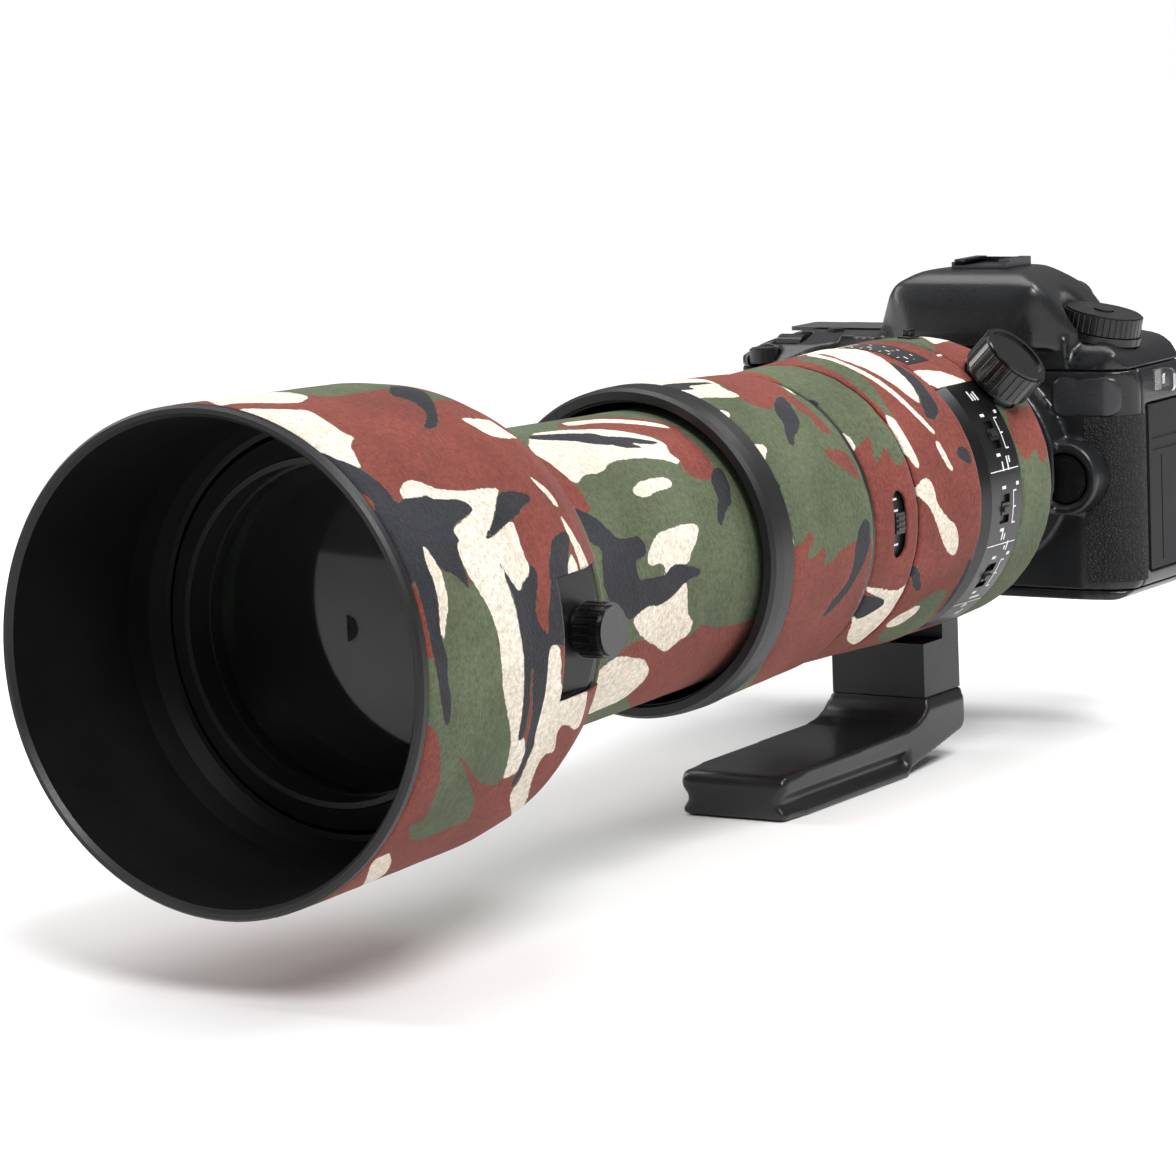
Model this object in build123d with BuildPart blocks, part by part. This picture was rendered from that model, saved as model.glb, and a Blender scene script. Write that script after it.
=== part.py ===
"""Digital SLR camera body with a long zoom lens on a tripod foot.

Millimetres, +Z up. The lens points to -Y and its axis lies in the plane x = 0.
The origin is the threaded hole in the middle of the tripod foot's underside.
Lengths along the lens are given from a datum 6 mm behind the mount plane, and
lengths in the camera from the mount plane itself, negative forwards.
"""
import os
from math import asin, cos, sin, radians
from build123d import *

os.makedirs("parts", exist_ok=True)

# ---------------------------------------------------------------- dimensions
AXIS_H = 93.0          # lens axis above the foot's underside
LENS_Y = 123.5         # datum of the lens lengths behind the foot's thread
BODY_Y = 117.5         # lens mount plane behind the foot's thread
MOUNT_Y = LENS_Y       # datum in use; the camera section below switches it to BODY_Y
TRAVEL = 85.0          # how far the zoom barrel slides in

FOOT_W = 39.0          # dovetail foot width
THREAD_R = 3.2         # quarter-inch thread
THREAD_L = 10.0

HOOD_RIM_R = 69.7
HOOD_Y = -436.0
LIP_R = 51.3
COLLAR_BORE_R = 44.6
COLLAR_SEAT_R = 44.2
BARREL_BORE_R = 44.4

BODY_X0, BODY_X1 = -94.0, 58.0      # grip side, port side
BODY_Z0, BODY_Z1 = -46.0, 44.0      # base, shoulders (from the lens axis)
BODY_BACK = 63.0
HUMP_Z = 67.4
WALL = 2.5
SPLIT_Y = 27.0
TOP_SPLIT = 33.0
BASE_SPLIT = -42.5
GAP = 0.05

THROAT_R = 27.0        # camera mount throat
FLANGE_R = 32.4

# ---------------------------------------------------------------- helpers
SECTION = Plane(origin=(0, MOUNT_Y, AXIS_H), x_dir=(0, 1, 0), z_dir=(1, 0, 0))   # (y, z)
FRONT = Plane(origin=(0, MOUNT_Y, AXIS_H), x_dir=(1, 0, 0), z_dir=(0, -1, 0))    # (x, z)
PLAN = Plane(origin=(0, MOUNT_Y, AXIS_H), x_dir=(1, 0, 0), z_dir=(0, 0, 1))      # (x, y)
LENS_AXIS = Axis((0, MOUNT_Y, AXIS_H), (0, 1, 0))


def section_at(phi):
    """Half-plane through the lens axis at angle phi, measured from +X up towards +Z."""
    return Plane(origin=(0, MOUNT_Y, AXIS_H), x_dir=(0, 1, 0),
                 z_dir=(sin(radians(phi)), 0, -cos(radians(phi))))


def turned(points, mode=Mode.ADD, top=90.0, arc=360.0):
    """Turn a closed (y, r) outline about the lens axis, from angle top downwards."""
    with BuildSketch(section_at(top)) as outline:
        with BuildLine():
            Polyline(*points, close=True)
        make_face()
    revolve(outline.sketch, axis=LENS_AXIS, revolution_arc=arc, mode=mode)


def half_arc(mid, edge, r):
    """Point halfway along the spherical face that crosses the axis square at mid."""
    sag = edge - mid
    radius = (r * r + sag * sag) / (2 * abs(sag))
    half = asin(min(1.0, r / radius)) / 2
    step = radius * (1 - cos(half))
    return (mid + (step if sag > 0 else -step), radius * sin(half))


def element(front_edge, front_mid, back_mid, back_edge, r, mode=Mode.ADD):
    """Glass element with arced faces, turned about the lens axis."""
    with BuildSketch(SECTION) as outline:
        with BuildLine():
            ThreePointArc((front_mid, 0), half_arc(front_mid, front_edge, r), (front_edge, r))
            Line((front_edge, r), (back_edge, r))
            ThreePointArc((back_edge, r), half_arc(back_mid, back_edge, r), (back_mid, 0))
            Line((back_mid, 0), (front_mid, 0))
        make_face()
    revolve(outline.sketch, axis=LENS_AXIS, mode=mode)


def block(x0, x1, y0, y1, z0, z1, mode=Mode.ADD):
    with Locations(((x0 + x1) / 2, MOUNT_Y + (y0 + y1) / 2, AXIS_H + (z0 + z1) / 2)):
        Box(abs(x1 - x0), abs(y1 - y0), abs(z1 - z0), mode=mode)


def rod_y(x, z, y0, y1, r, mode=Mode.ADD):
    with Locations((x, MOUNT_Y + (y0 + y1) / 2, AXIS_H + z)):
        Cylinder(r, abs(y1 - y0), rotation=(90, 0, 0), mode=mode)


def rod_x(y, z, x0, x1, r, mode=Mode.ADD):
    with Locations(((x0 + x1) / 2, MOUNT_Y + y, AXIS_H + z)):
        Cylinder(r, abs(x1 - x0), rotation=(0, 90, 0), mode=mode)


def rod_z(x, y, z0, z1, r, mode=Mode.ADD):
    with Locations((x, MOUNT_Y + y, AXIS_H + (z0 + z1) / 2)):
        Cylinder(r, abs(z1 - z0), mode=mode)


def radial(phi, y, r):
    """Plane square to the radius at angle phi; local (y, around the lens)."""
    c, s = cos(radians(phi)), sin(radians(phi))
    return Plane(origin=(r * c, MOUNT_Y + y, AXIS_H + r * s), x_dir=(0, 1, 0), z_dir=(c, 0, s))


def rod_r(phi, y, r0, r1, radius, mode=Mode.ADD):
    with BuildSketch(radial(phi, y, r0)) as disc:
        Circle(radius)
    extrude(disc.sketch, amount=r1 - r0, mode=mode)


def side_prism(points, x0, x1, mode=Mode.ADD):
    """Closed (y, z) outline swept from x0 to x1."""
    with BuildSketch(SECTION.offset(x0)) as outline:
        with BuildLine():
            Polyline(*points, close=True)
        make_face()
    extrude(outline.sketch, amount=x1 - x0, mode=mode)


def front_prism(points, y0, y1, mode=Mode.ADD):
    """Closed (x, z) outline swept from y0 to y1."""
    with BuildSketch(FRONT.offset(-y1)) as outline:
        with BuildLine():
            Polyline(*points, close=True)
        make_face()
    extrude(outline.sketch, amount=y1 - y0, mode=mode)


def pad_y(x, z, w, h, corner, y0, y1, mode=Mode.ADD):
    """Rounded rectangle in front view, from y0 to y1."""
    with BuildSketch(FRONT.offset(-y1)) as outline:
        with Locations((x, z)):
            RectangleRounded(w, h, corner)
    extrude(outline.sketch, amount=y1 - y0, mode=mode)


def pad_z(x, y, w, h, corner, z0, z1, mode=Mode.ADD):
    """Rounded rectangle in plan, from z0 to z1."""
    with BuildSketch(PLAN.offset(z0)) as outline:
        with Locations((x, y)):
            RectangleRounded(w, h, corner)
    extrude(outline.sketch, amount=z1 - z0, mode=mode)


def save(piece, label):
    piece.part.label = label
    export_step(piece.part, "parts/%s.step" % label)


# ================================================================ collar and foot
with BuildPart() as tripod_collar:
    turned([(-52.4, COLLAR_BORE_R), (-28.3, COLLAR_BORE_R), (-28.3, 46.4), (-29.0, 46.8),
            (-51.7, 47.38), (-52.4, 46.8)])
    rod_r(45, -45, 45.6, 49.6, 10.0)
    turned([(-57.0, 43.0), (-52.4, 43.0), (-52.4, 52.0), (-57.0, 52.0)], mode=Mode.SUBTRACT)
    block(-17.5, 17.5, -52.4, -41.0, -69.0, -45.0)
    block(-17.5, 17.5, -66.0, -52.4, -69.0, -51.0)
    turned([(-61.5, 0), (-27.0, 0), (-27.0, COLLAR_BORE_R), (-61.5, COLLAR_BORE_R)], mode=Mode.SUBTRACT)
    rod_r(45, -45, 40, 60, 3.35, mode=Mode.SUBTRACT)
    for sx in (-11, 11):
        for sy in (-47.5, -60.0):
            rod_z(sx, sy, -70, -57, 2.15, mode=Mode.SUBTRACT)
save(tripod_collar, "tripod_collar")

with BuildPart() as tripod_foot:
    side_prism([(-165, -91.8), (-163.8, -93), (-82, -93), (-79, -90.2), (-43, -83), (-41, -80.5),
                (-41, -69 - GAP), (-66, -69 - GAP), (-66.8, -71.2), (-69.5, -73.8), (-74.5, -76),
                (-83, -77.2), (-163, -78.2), (-165, -80.2)], -FOOT_W / 2, FOOT_W / 2)
    for s in (1, -1):
        front_prism([(s * 20.5, -90.6), (s * 19.5, -90.6), (s * 16.6, -87.8), (s * 16.6, -86.2),
                     (s * 19.5, -83.6), (s * 20.5, -83.6)], -166, -81, mode=Mode.SUBTRACT)
        front_prism([(s * 17.6, -68), (s * 20.5, -68), (s * 20.5, -73), (s * 19.5, -73)],
                    -80, -40, mode=Mode.SUBTRACT)
    rod_z(0, -MOUNT_Y, -93.5, -93 + THREAD_L, THREAD_R, mode=Mode.SUBTRACT)
    for sx in (-11, 11):
        for sy in (-47.5, -60.0):
            rod_z(sx, sy, -80, -68, 2.15, mode=Mode.SUBTRACT)
            rod_z(sx, sy, -94, -78.6, 3.8, mode=Mode.SUBTRACT)
save(tripod_foot, "tripod_foot")

with BuildPart() as foot_screws:
    for sx in (-11, 11):
        for sy in (-47.5, -60.0):
            rod_z(sx, sy, -78.65, -58.0, 2.0)
            rod_z(sx, sy, -82.6, -78.65, 3.5)
            with BuildSketch(PLAN.offset(-82.6)) as key:
                with Locations((sx, sy)):
                    RegularPolygon(1.7, 6)
            extrude(key.sketch, amount=2.0, mode=Mode.SUBTRACT)
save(foot_screws, "foot_screws")

with BuildPart() as collar_cover:
    turned([(-51.6, 47.41), (-29.2, 46.85), (-28.6, 47.4), (-29.6, 48.2), (-45, 49.0), (-51.3, 49.25),
            (-52.4, 48.5)])
    rod_r(45, -45, 44, 60, 10.6, mode=Mode.SUBTRACT)
    block(-18.0, 18.0, -54, -40.4, -60, -40, mode=Mode.SUBTRACT)
    block(1.6, 6.2, -46, -38, 44, 60, mode=Mode.SUBTRACT)
save(collar_cover, "collar_cover")

with BuildPart() as collar_knob:
    rod_r(45, -45, 45.0, 50.1, 3.0)
    rod_r(45, -45, 50.1, 53.0, 11.0)
    with BuildSketch(radial(45, -45, 52.0)) as grip_outline:
        Circle(12.4)
        with PolarLocations(12.75, 28):
            Circle(0.62, mode=Mode.SUBTRACT)
    extrude(grip_outline.sketch, amount=10.0)
    rod_r(45, -45, 62.0, 63.0, 11.6)
    rod_r(45, -45, 62.2, 63.2, 10.2, mode=Mode.SUBTRACT)
save(collar_knob, "collar_knob")

# ================================================================ lens, fixed pieces
with BuildPart() as main_barrel:
    turned([(-219.0, 46.65), (-219.0, 47.45), (-153.0, 45.75), (-152.4, 45.75), (-152.4, 47.2),
            (-150.6, 47.2), (-150.0, 46.2), (-123.6, 46.2), (-123.6, 47.2), (-122.8, 47.2),
            (-122.8, 45.5), (-81.4, 45.5), (-81.4, 47.2), (-52.9, 47.2), (-52.9, COLLAR_SEAT_R),
            (-27.6, COLLAR_SEAT_R), (-27.6, 45.4), (-26.4, 45.9), (-25.2, 43.4), (-23.0, 41.4),
            (-14.0, 37.6), (-9.0, 34.6), (-9.0, 24.5), (-24.0, 24.5), (-26.0, 38.0), (-102.0, 38.0),
            (-102.0, BARREL_BORE_R), (-135.0, BARREL_BORE_R)])
    # floor of the distance scale and of the switch seats
    turned([(-79.0, 46.4), (-65.0, 46.4), (-65.0, 48.0), (-79.0, 48.0)], mode=Mode.SUBTRACT, top=98, arc=34)
save(main_barrel, "main_barrel")

with BuildPart() as lens_mount:
    turned([(-8.95, 24.0), (-8.95, 33.4), (-6.6, 33.4), (-6.0, 32.8), (-6.0, 24.2), (-0.5, 24.2),
            (-0.5, 21.0), (-8.95, 21.0)])
    for a in (70, -50, -170):
        turned([(-3.1, 24.0), (-1.1, 24.0), (-1.1, 26.6), (-3.1, 26.6)], top=a, arc=52)
    rod_y(30.9, -3, -7.9, -5, 1.3, mode=Mode.SUBTRACT)
save(lens_mount, "lens_mount")

with BuildPart() as band_cover:
    turned([(-149.6, 46.25), (-123.7, 46.25), (-123.7, 47.7), (-124.4, 48.12), (-149.2, 47.5), (-149.9, 46.9)])
    turned([(-136.9, 44), (-132.7, 44), (-132.7, 50), (-136.9, 50)], mode=Mode.SUBTRACT, top=12.5, arc=26)
    turned([(-139.0, 44), (-130.6, 44), (-130.6, 50), (-139.0, 50)], mode=Mode.SUBTRACT, top=8.5, arc=18)
    rod_r(8.0, -134.8, 44, 52, 4.2, mode=Mode.SUBTRACT)
    rod_r(-9.0, -134.8, 44, 52, 4.2, mode=Mode.SUBTRACT)
save(band_cover, "band_cover")

with BuildPart() as panel_cover:
    turned([(-81.0, 47.25), (-53.0, 47.25), (-53.0, 48.7), (-53.7, 49.1), (-80.4, 49.1), (-81.0, 48.6)],
           top=-62.6, arc=249.4 - 0.6)
    turned([(-79.6, 47.0), (-64.4, 47.0), (-64.4, 50.0), (-79.6, 50.0)], mode=Mode.SUBTRACT, top=98.6, arc=35.2)
save(panel_cover, "panel_cover")

SWITCH_ANGLES = (24.0, -5.0, -33.0)
with BuildPart() as switch_panel:
    turned([(-81.0, 47.25), (-53.0, 47.25), (-53.0, 48.9), (-53.5, 49.3), (-75.0, 49.3), (-81.0, 47.9)],
           top=47.8, arc=110)
    for a in SWITCH_ANGLES:
        turned([(-68.7, 48.2), (-62.3, 48.2), (-62.3, 50.5), (-68.7, 50.5)], mode=Mode.SUBTRACT, top=a + 5.6, arc=11.2)
save(switch_panel, "switch_panel")

with BuildPart() as distance_window:
    turned([(-79.2, 48.0), (-64.8, 48.0), (-64.8, 49.1), (-79.2, 49.1)], top=98.2, arc=34.4)
save(distance_window, "distance_window")

with BuildPart() as rear_glass:
    element(-21.0, -24.0, -12.5, -14.0, 20.8)
    element(-40.0, -43.0, -36.0, -33.0, 30.0)
    turned([(-41.0, 30.0), (-32.5, 30.0), (-32.5, 37.95), (-41.0, 37.95)])
    turned([(-22.5, 20.8), (-14.5, 20.8), (-14.5, 24.45), (-22.5, 24.45)])
save(rear_glass, "rear_glass")

with BuildPart() as zoom_lock_switch:
    turned([(-137.6, 46.55), (-132.0, 46.55), (-132.0, 47.75), (-137.6, 47.75)], top=4.0, arc=8)
    for a in (2.6, 0.5, -1.6):
        turned([(-137.0, 47.6), (-132.6, 47.6), (-132.6, 48.25), (-137.0, 48.25)], top=a, arc=1.0)
save(zoom_lock_switch, "zoom_lock_switch")


def switch_outline(a):
    turned([(-68.2, 48.55), (-62.8, 48.55), (-62.8, 49.55), (-68.2, 49.55)], top=a + 2.3, arc=4.6)
    turned([(-67.7, 49.4), (-63.3, 49.4), (-63.3, 50.3), (-67.7, 50.3)], top=a + 0.9, arc=1.8)


with BuildPart() as focus_switch:
    switch_outline(SWITCH_ANGLES[0])
save(focus_switch, "focus_switch")

with BuildPart() as range_switch:
    switch_outline(SWITCH_ANGLES[1])
save(range_switch, "range_switch")

with BuildPart() as stabiliser_switch:
    switch_outline(SWITCH_ANGLES[2])
save(stabiliser_switch, "stabiliser_switch")

# ================================================================ lens, rings and groups
with BuildPart() as focus_ring:
    turned([(-122.2, 45.9), (-82.0, 45.9), (-82.0, 48.4), (-82.8, 48.4), (-121.4, 47.06), (-122.2, 47.06)])
save(focus_ring, "focus_ring")

with BuildPart() as focus_cover:
    turned([(-121.4, 47.11), (-82.8, 48.45), (-82.1, 48.7), (-82.9, 49.5), (-121.2, 48.17), (-122.1, 47.55)])
save(focus_cover, "focus_cover")

with BuildPart() as focus_glass:
    element(-78.0, -74.0, -70.0, -66.0, 31.0)
    turned([(-79.5, 31.0), (-64.5, 31.0), (-64.5, 37.65), (-66.0, 37.65), (-66.0, 36.6), (-78.0, 36.6),
            (-78.0, 37.65), (-79.5, 37.65)])
save(focus_glass, "focus_glass")

with BuildPart() as zoom_ring:
    turned([(-219.9, 46.95), (-221.0, 47.4), (-221.0, 50.0), (-219.4, 51.0), (-215.0, 51.3),
            (-209.2, 51.3), (-208.6, 50.9), (-208.6, 49.45), (-154.0, 46.95), (-153.4, 46.95),
            (-153.4, 46.15), (-218.6, 47.85), (-219.5, 47.9)])
    for k in range(3):
        turned([(-220.9, 47.6), (-221.3, 47.8), (-221.3, 49.6), (-220.9, 49.8)], top=k * 120, arc=0.5, mode=Mode.SUBTRACT)
save(zoom_ring, "zoom_ring")

with BuildPart() as zoom_cover:
    turned([(-208.5, 49.5), (-154.2, 47.05), (-153.5, 47.5), (-154.3, 48.35), (-207.7, 50.95), (-208.5, 50.4)])
save(zoom_cover, "zoom_cover")

with BuildPart() as zoom_glass:
    element(-149.0, -146.0, -136.0, -134.0, 34.0)
    turned([(-150.0, 34.0), (-133.0, 34.0), (-133.0, 39.9), (-135.0, 39.9), (-135.0, 38.2), (-148.0, 38.2),
            (-148.0, 39.9), (-150.0, 39.9)])
save(zoom_glass, "zoom_glass")

with BuildPart() as inner_barrel:
    turned([(-196.0, 43.8), (-200.5, 43.8), (-200.5, 42.5), (-226.0, 42.6), (-313.5, 44.9),
            (-318.5, 48.6), (-325.5, 53.8), (-332.6, 56.6), (-336.0, 56.8), (-374.8, 56.8),
            (-376.6, 55.9), (-378.8, 51.2), (-379.4, 49.6), (-380.0, 49.2), (-380.0, 47.5),
            (-371.0, 47.5), (-371.0, 46.7), (-352.0, 46.7), (-352.0, 44.0), (-340.0, 43.4),
            (-322.0, 40.6), (-196.0, 40.6)])
    # recess for the hood's thumb screw
    rod_x(-345, -1, 55.6, 60, 3.4, mode=Mode.SUBTRACT)
save(inner_barrel, "inner_barrel")

with BuildPart() as neck_cover:
    turned([(-201.0, 42.56), (-226.0, 42.65), (-313.5, 44.95), (-318.5, 48.65), (-325.5, 53.85), (-332.5, 56.75),
            (-332.7, 59.2), (-331.6, 59.9), (-325.5, 56.2), (-319.0, 50.9), (-315.6, 48.0),
            (-312.0, 46.5), (-227.0, 44.1), (-202.0, 43.6), (-201.0, 43.2)])
save(neck_cover, "neck_cover")

with BuildPart() as front_glass:
    element(-366.0, -370.4, -356.0, -353.0, 46.6)
    element(-344.0, -346.0, -336.0, -334.5, 40.0)
    turned([(-345.0, 40.0), (-334.0, 40.0), (-334.0, 42.3), (-345.0, 43.5)])
save(front_glass, "front_glass")

# ================================================================ hood
with BuildPart() as hood:
    turned([(-333.2, 57.3), (-333.2, 59.4), (-345.0, 63.9), (-360.0, 66.0), (-431.0, 68.2),
            (-432.0, 68.2), (-432.0, 69.2), (-433.0, 69.7), (-435.0, 69.7), (HOOD_Y, 68.9),
            (HOOD_Y, 67.6), (-434.6, 66.5), (-426.0, 65.9), (-388.0, 63.4), (-381.0, 61.4), (-376.0, 59.0),
            (-376.0, 57.3)])
    block(60.6, 80, -363.4, -330, -17.5, 15.5, mode=Mode.SUBTRACT)
    rod_x(-345, -1, 50, 65, 2.85, mode=Mode.SUBTRACT)
save(hood, "hood")

with BuildPart() as hood_cover:
    turned([(-333.3, 59.5), (-345.0, 63.95), (-360.0, 66.05), (-431.0, 68.25), (-431.9, 68.3), (-431.9, 69.3),
            (-430.5, 69.7), (-360.0, 67.5), (-345.0, 65.5), (-334.2, 61.4), (-333.3, 60.6)])
    block(50, 80, -364.0, -330, -18.2, 16.2, mode=Mode.SUBTRACT)
save(hood_cover, "hood_cover")

with BuildPart() as hood_screw:
    rod_x(-345, -1, 57.7, 61.2, 2.5)
    rod_x(-345, -1, 61.2, 63.2, 6.6)
    with BuildSketch(SECTION.offset(63.0)) as screw_outline:
        with Locations((-345, -1)):
            Circle(7.9)
            with PolarLocations(8.15, 22):
                Circle(0.5, mode=Mode.SUBTRACT)
    extrude(screw_outline.sketch, amount=7.6)
    rod_x(-345, -1, 70.6, 71.6, 7.0)
save(hood_screw, "hood_screw")

# ================================================================ camera body form
# lengths from here on are given from the mount plane
MOUNT_Y = BODY_Y
SECTION = Plane(origin=(0, MOUNT_Y, AXIS_H), x_dir=(0, 1, 0), z_dir=(1, 0, 0))
FRONT = Plane(origin=(0, MOUNT_Y, AXIS_H), x_dir=(1, 0, 0), z_dir=(0, -1, 0))
PLAN = Plane(origin=(0, MOUNT_Y, AXIS_H), x_dir=(1, 0, 0), z_dir=(0, 0, 1))
LENS_AXIS = Axis((0, MOUNT_Y, AXIS_H), (0, 1, 0))

def plan_prism(inset, z0, z1, mode=Mode.ADD):
    """Body seen from above: grip on the -X side, bulging to the front."""
    with BuildSketch(PLAN.offset(z0)) as outline:
        with BuildLine():
            g1 = TangentArc((-94, 26), (-85, 4.2), tangent=(0, -1))
            g2 = TangentArc(g1 @ 1, (-71, 4.6), tangent=g1 % 1)
            g3 = TangentArc(g2 @ 1, (-57, 15.0), tangent=g2 % 1)
            g4 = TangentArc(g3 @ 1, (-45, 15.6), tangent=g3 % 1)
            Polyline(g4 @ 1, (-38, 14), (40, 14), (48, 15.4))
            ThreePointArc((48, 15.4), (54.6, 18.6), (58, 26))
            Line((58, 26), (58, 57))
            ThreePointArc((58, 57), (56.3, 61.3), (52, BODY_BACK))
            Line((52, BODY_BACK), (-84, BODY_BACK))
            ThreePointArc((-84, BODY_BACK), (-91, 60), (-94, 53))
            Line((-94, 53), (-94, 26))
        make_face()
        if inset:
            offset(amount=-inset, mode=Mode.REPLACE)
    extrude(outline.sketch, amount=z1 - z0, mode=mode)


def face_prism(inset, y0, y1, mode=Mode.ADD):
    """Body seen from the front: shoulders and base."""
    with BuildSketch(FRONT.offset(-y1)) as outline:
        with BuildLine():
            Line((-86, BODY_Z0), (50, BODY_Z0))
            ThreePointArc((50, BODY_Z0), (55.6, -43.6), (BODY_X1, -38))
            Line((BODY_X1, -38), (BODY_X1, 26))
            s1 = TangentArc((BODY_X1, 26), (52.5, 39.0), tangent=(0, 1))
            s2 = TangentArc(s1 @ 1, (47, 42.0), tangent=s1 % 1)
            Polyline(s2 @ 1, (36, BODY_Z1), (-70, BODY_Z1))
            ThreePointArc((-70, BODY_Z1), (-86.5, 39.0), (BODY_X0, 24))
            Line((BODY_X0, 24), (BODY_X0, -38))
            ThreePointArc((BODY_X0, -38), (-91.6, -43.6), (-86, BODY_Z0))
        make_face()
        if inset:
            offset(amount=-inset, mode=Mode.REPLACE)
    extrude(outline.sketch, amount=y1 - y0, mode=mode)


HUMP_SIDE = [(5.0, 42), (4.4, 46), (5.2, 56), (8.6, 63.2), (14.5, 66.8), (20, HUMP_Z), (44, HUMP_Z), (57, 61),
             (63, 56), (64, 50), (64, 34), (14, 34), (14, 40)]
HUMP_FACE = [(40, 34), (39.5, 44), (36.5, 48), (32.5, 54), (28.5, 59.7), (24, 64), (18.5, HUMP_Z + 0.1)]
HUMP_PLAN = [(-18, 4), (18, 4), (27, 7.5), (34, 14.0), (41, 22), (41, 66), (-41, 66), (-41, 22), (-34, 14.0), (-27, 7.5)]
HUMP_SIDE_IN = [(17, 30), (17, 42.5), (8.2, 46), (8.6, 55.5), (11.4, 60.8), (16, 63.9), (21, HUMP_Z - WALL),
                (43, HUMP_Z - WALL), (55.6, 58.6), (60.6, 54.6), (61.5, 49), (61.5, 34), (60, 30)]


HUMP_TAPER = 10.3      # degrees by which each flank closes in towards the eyepiece


def hump_prism(inset, z_base):
    """Prism housing: two slanted prisms meet, so that it narrows to the eyepiece."""
    pts = [(x - inset, z - (inset if z > 40 else 0)) for x, z in HUMP_FACE]
    pts[0] = (pts[0][0], z_base)
    top = pts[-1][1]
    c, t = cos(radians(HUMP_TAPER)), sin(radians(HUMP_TAPER))
    for s, mode in ((1, Mode.ADD), (-1, Mode.INTERSECT)):
        slant = Plane(origin=(0, MOUNT_Y + 20, AXIS_H), x_dir=(c, s * t, 0), z_dir=(s * t, -c, 0))
        with BuildSketch(slant) as outline:
            with BuildLine():
                Polyline(*[(s * x, z) for x, z in pts], (-s * 60, top), (-s * 60, z_base), close=True)
            make_face()
        extrude(outline.sketch, amount=70.0, both=True, mode=mode)


def plan_poly(points, z0, z1, mode):
    with BuildSketch(PLAN.offset(z0)) as outline:
        with BuildLine():
            Polyline(*points, close=True)
        make_face()
    extrude(outline.sketch, amount=z1 - z0, mode=mode)


with BuildPart() as hump_form:
    hump_prism(0, 34)
    side_prism(HUMP_SIDE, -42, 42, mode=Mode.INTERSECT)
    plan_poly(HUMP_PLAN, 30, 75, Mode.INTERSECT)

with BuildPart() as hump_hollow:
    hump_prism(WALL, 30)
    side_prism(HUMP_SIDE_IN, -42, 42, mode=Mode.INTERSECT)
    plan_poly([(x * 0.93, y + 2.2 if y < 30 else y) for x, y in HUMP_PLAN], 25, 75, Mode.INTERSECT)

# mode dial seat: a plane leaning towards the port side
DIAL_LEAN = 12.0
SEAT = Plane(origin=(38.5, MOUNT_Y + 35.0, AXIS_H + 42.4), x_dir=(0, 1, 0),
             z_dir=(sin(radians(DIAL_LEAN)), 0, cos(radians(DIAL_LEAN))))


def seat_rod(h0, h1, r, mode=Mode.ADD):
    with BuildSketch(SEAT.offset(h0)) as disc:
        Circle(r)
    extrude(disc.sketch, amount=h1 - h0, mode=mode)


FRONT_EDGE = [(10, 31), (14.0, 31), (15.0, 35.5), (17.2, 39.4), (20.5, 42.4), (25, 44.1), (25, 47), (10, 47)]
with BuildPart() as body_form:
    plan_prism(0, BODY_Z0, BODY_Z1)
    face_prism(0, -1, 66, mode=Mode.INTERSECT)
    # grip top slopes down to the shutter button, shoulders round off to the front
    side_prism([(-3, 29), (-3, 46), (26, 46), (26, 44.0), (14, 40.6), (5, 35.0)], -96, -54, mode=Mode.SUBTRACT)
    side_prism(FRONT_EDGE, 36, 60, mode=Mode.SUBTRACT)
    add(hump_form.part)
    seat_rod(0, 30, 15.3, mode=Mode.SUBTRACT)
    # mount housing and lens release boss
    rod_y(0, 0, 2.6, 16, 36.5)
    rod_y(38, -3, 5.0, 16, 12.6)

with BuildPart() as body_hollow:
    plan_prism(WALL, BODY_Z0 + 3.4, BODY_Z1 - WALL)
    face_prism(WALL, -1, 66, mode=Mode.INTERSECT)
    side_prism([(-3, 26), (-3, 46), (29, 46), (29, 41.4), (14.5, 37.2), (5, 31.5)], -96, -51, mode=Mode.SUBTRACT)
    side_prism([(y + 2.5, z - 2.5) for y, z in FRONT_EDGE], 33.5, 60, mode=Mode.SUBTRACT)
    add(hump_hollow.part)
    seat_rod(-2.5, 30, 17.8, mode=Mode.SUBTRACT)


def keep_box(x0, x1, y0, y1, z0, z1):
    block(x0, x1, y0, y1, z0, z1, mode=Mode.INTERSECT)


PORT = (30.6, 57.0, -37.4, 20.6)      # y0, y1, z0, z1 of the socket bay on the +X side
CARD = (30.0, 52.0, -30.0, 20.0)      # y0, y1, z0, z1 of the card bay on the -X side
LCD = (7.0, -11.0, 68.0, 46.0)        # x, z, width, height of the rear screen
DIAL = (-59.0, -18.0)                 # x, z of the rear dial

with BuildPart() as front_cover:
    add(body_form.part)
    add(body_hollow.part, mode=Mode.SUBTRACT)
    keep_box(-100, 70, -5, SPLIT_Y, BASE_SPLIT, TOP_SPLIT)
    rod_y(0, 0, 0, 20, 30.0, mode=Mode.SUBTRACT)
    rod_y(0, 0, 0, 5.2, 33.0, mode=Mode.SUBTRACT)
    # lens release well and lock pin bore
    rod_y(38, -3, 4.0, 6.4, 10.6, mode=Mode.SUBTRACT)
    rod_y(38, -3, 4.0, 20, 8.6, mode=Mode.SUBTRACT)
    block(28, 38, 15.8, 22, -5.0, -1.0, mode=Mode.SUBTRACT)
    rod_y(30.9, -3, 2, 20, 1.4, mode=Mode.SUBTRACT)
save(front_cover, "front_cover")

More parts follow.
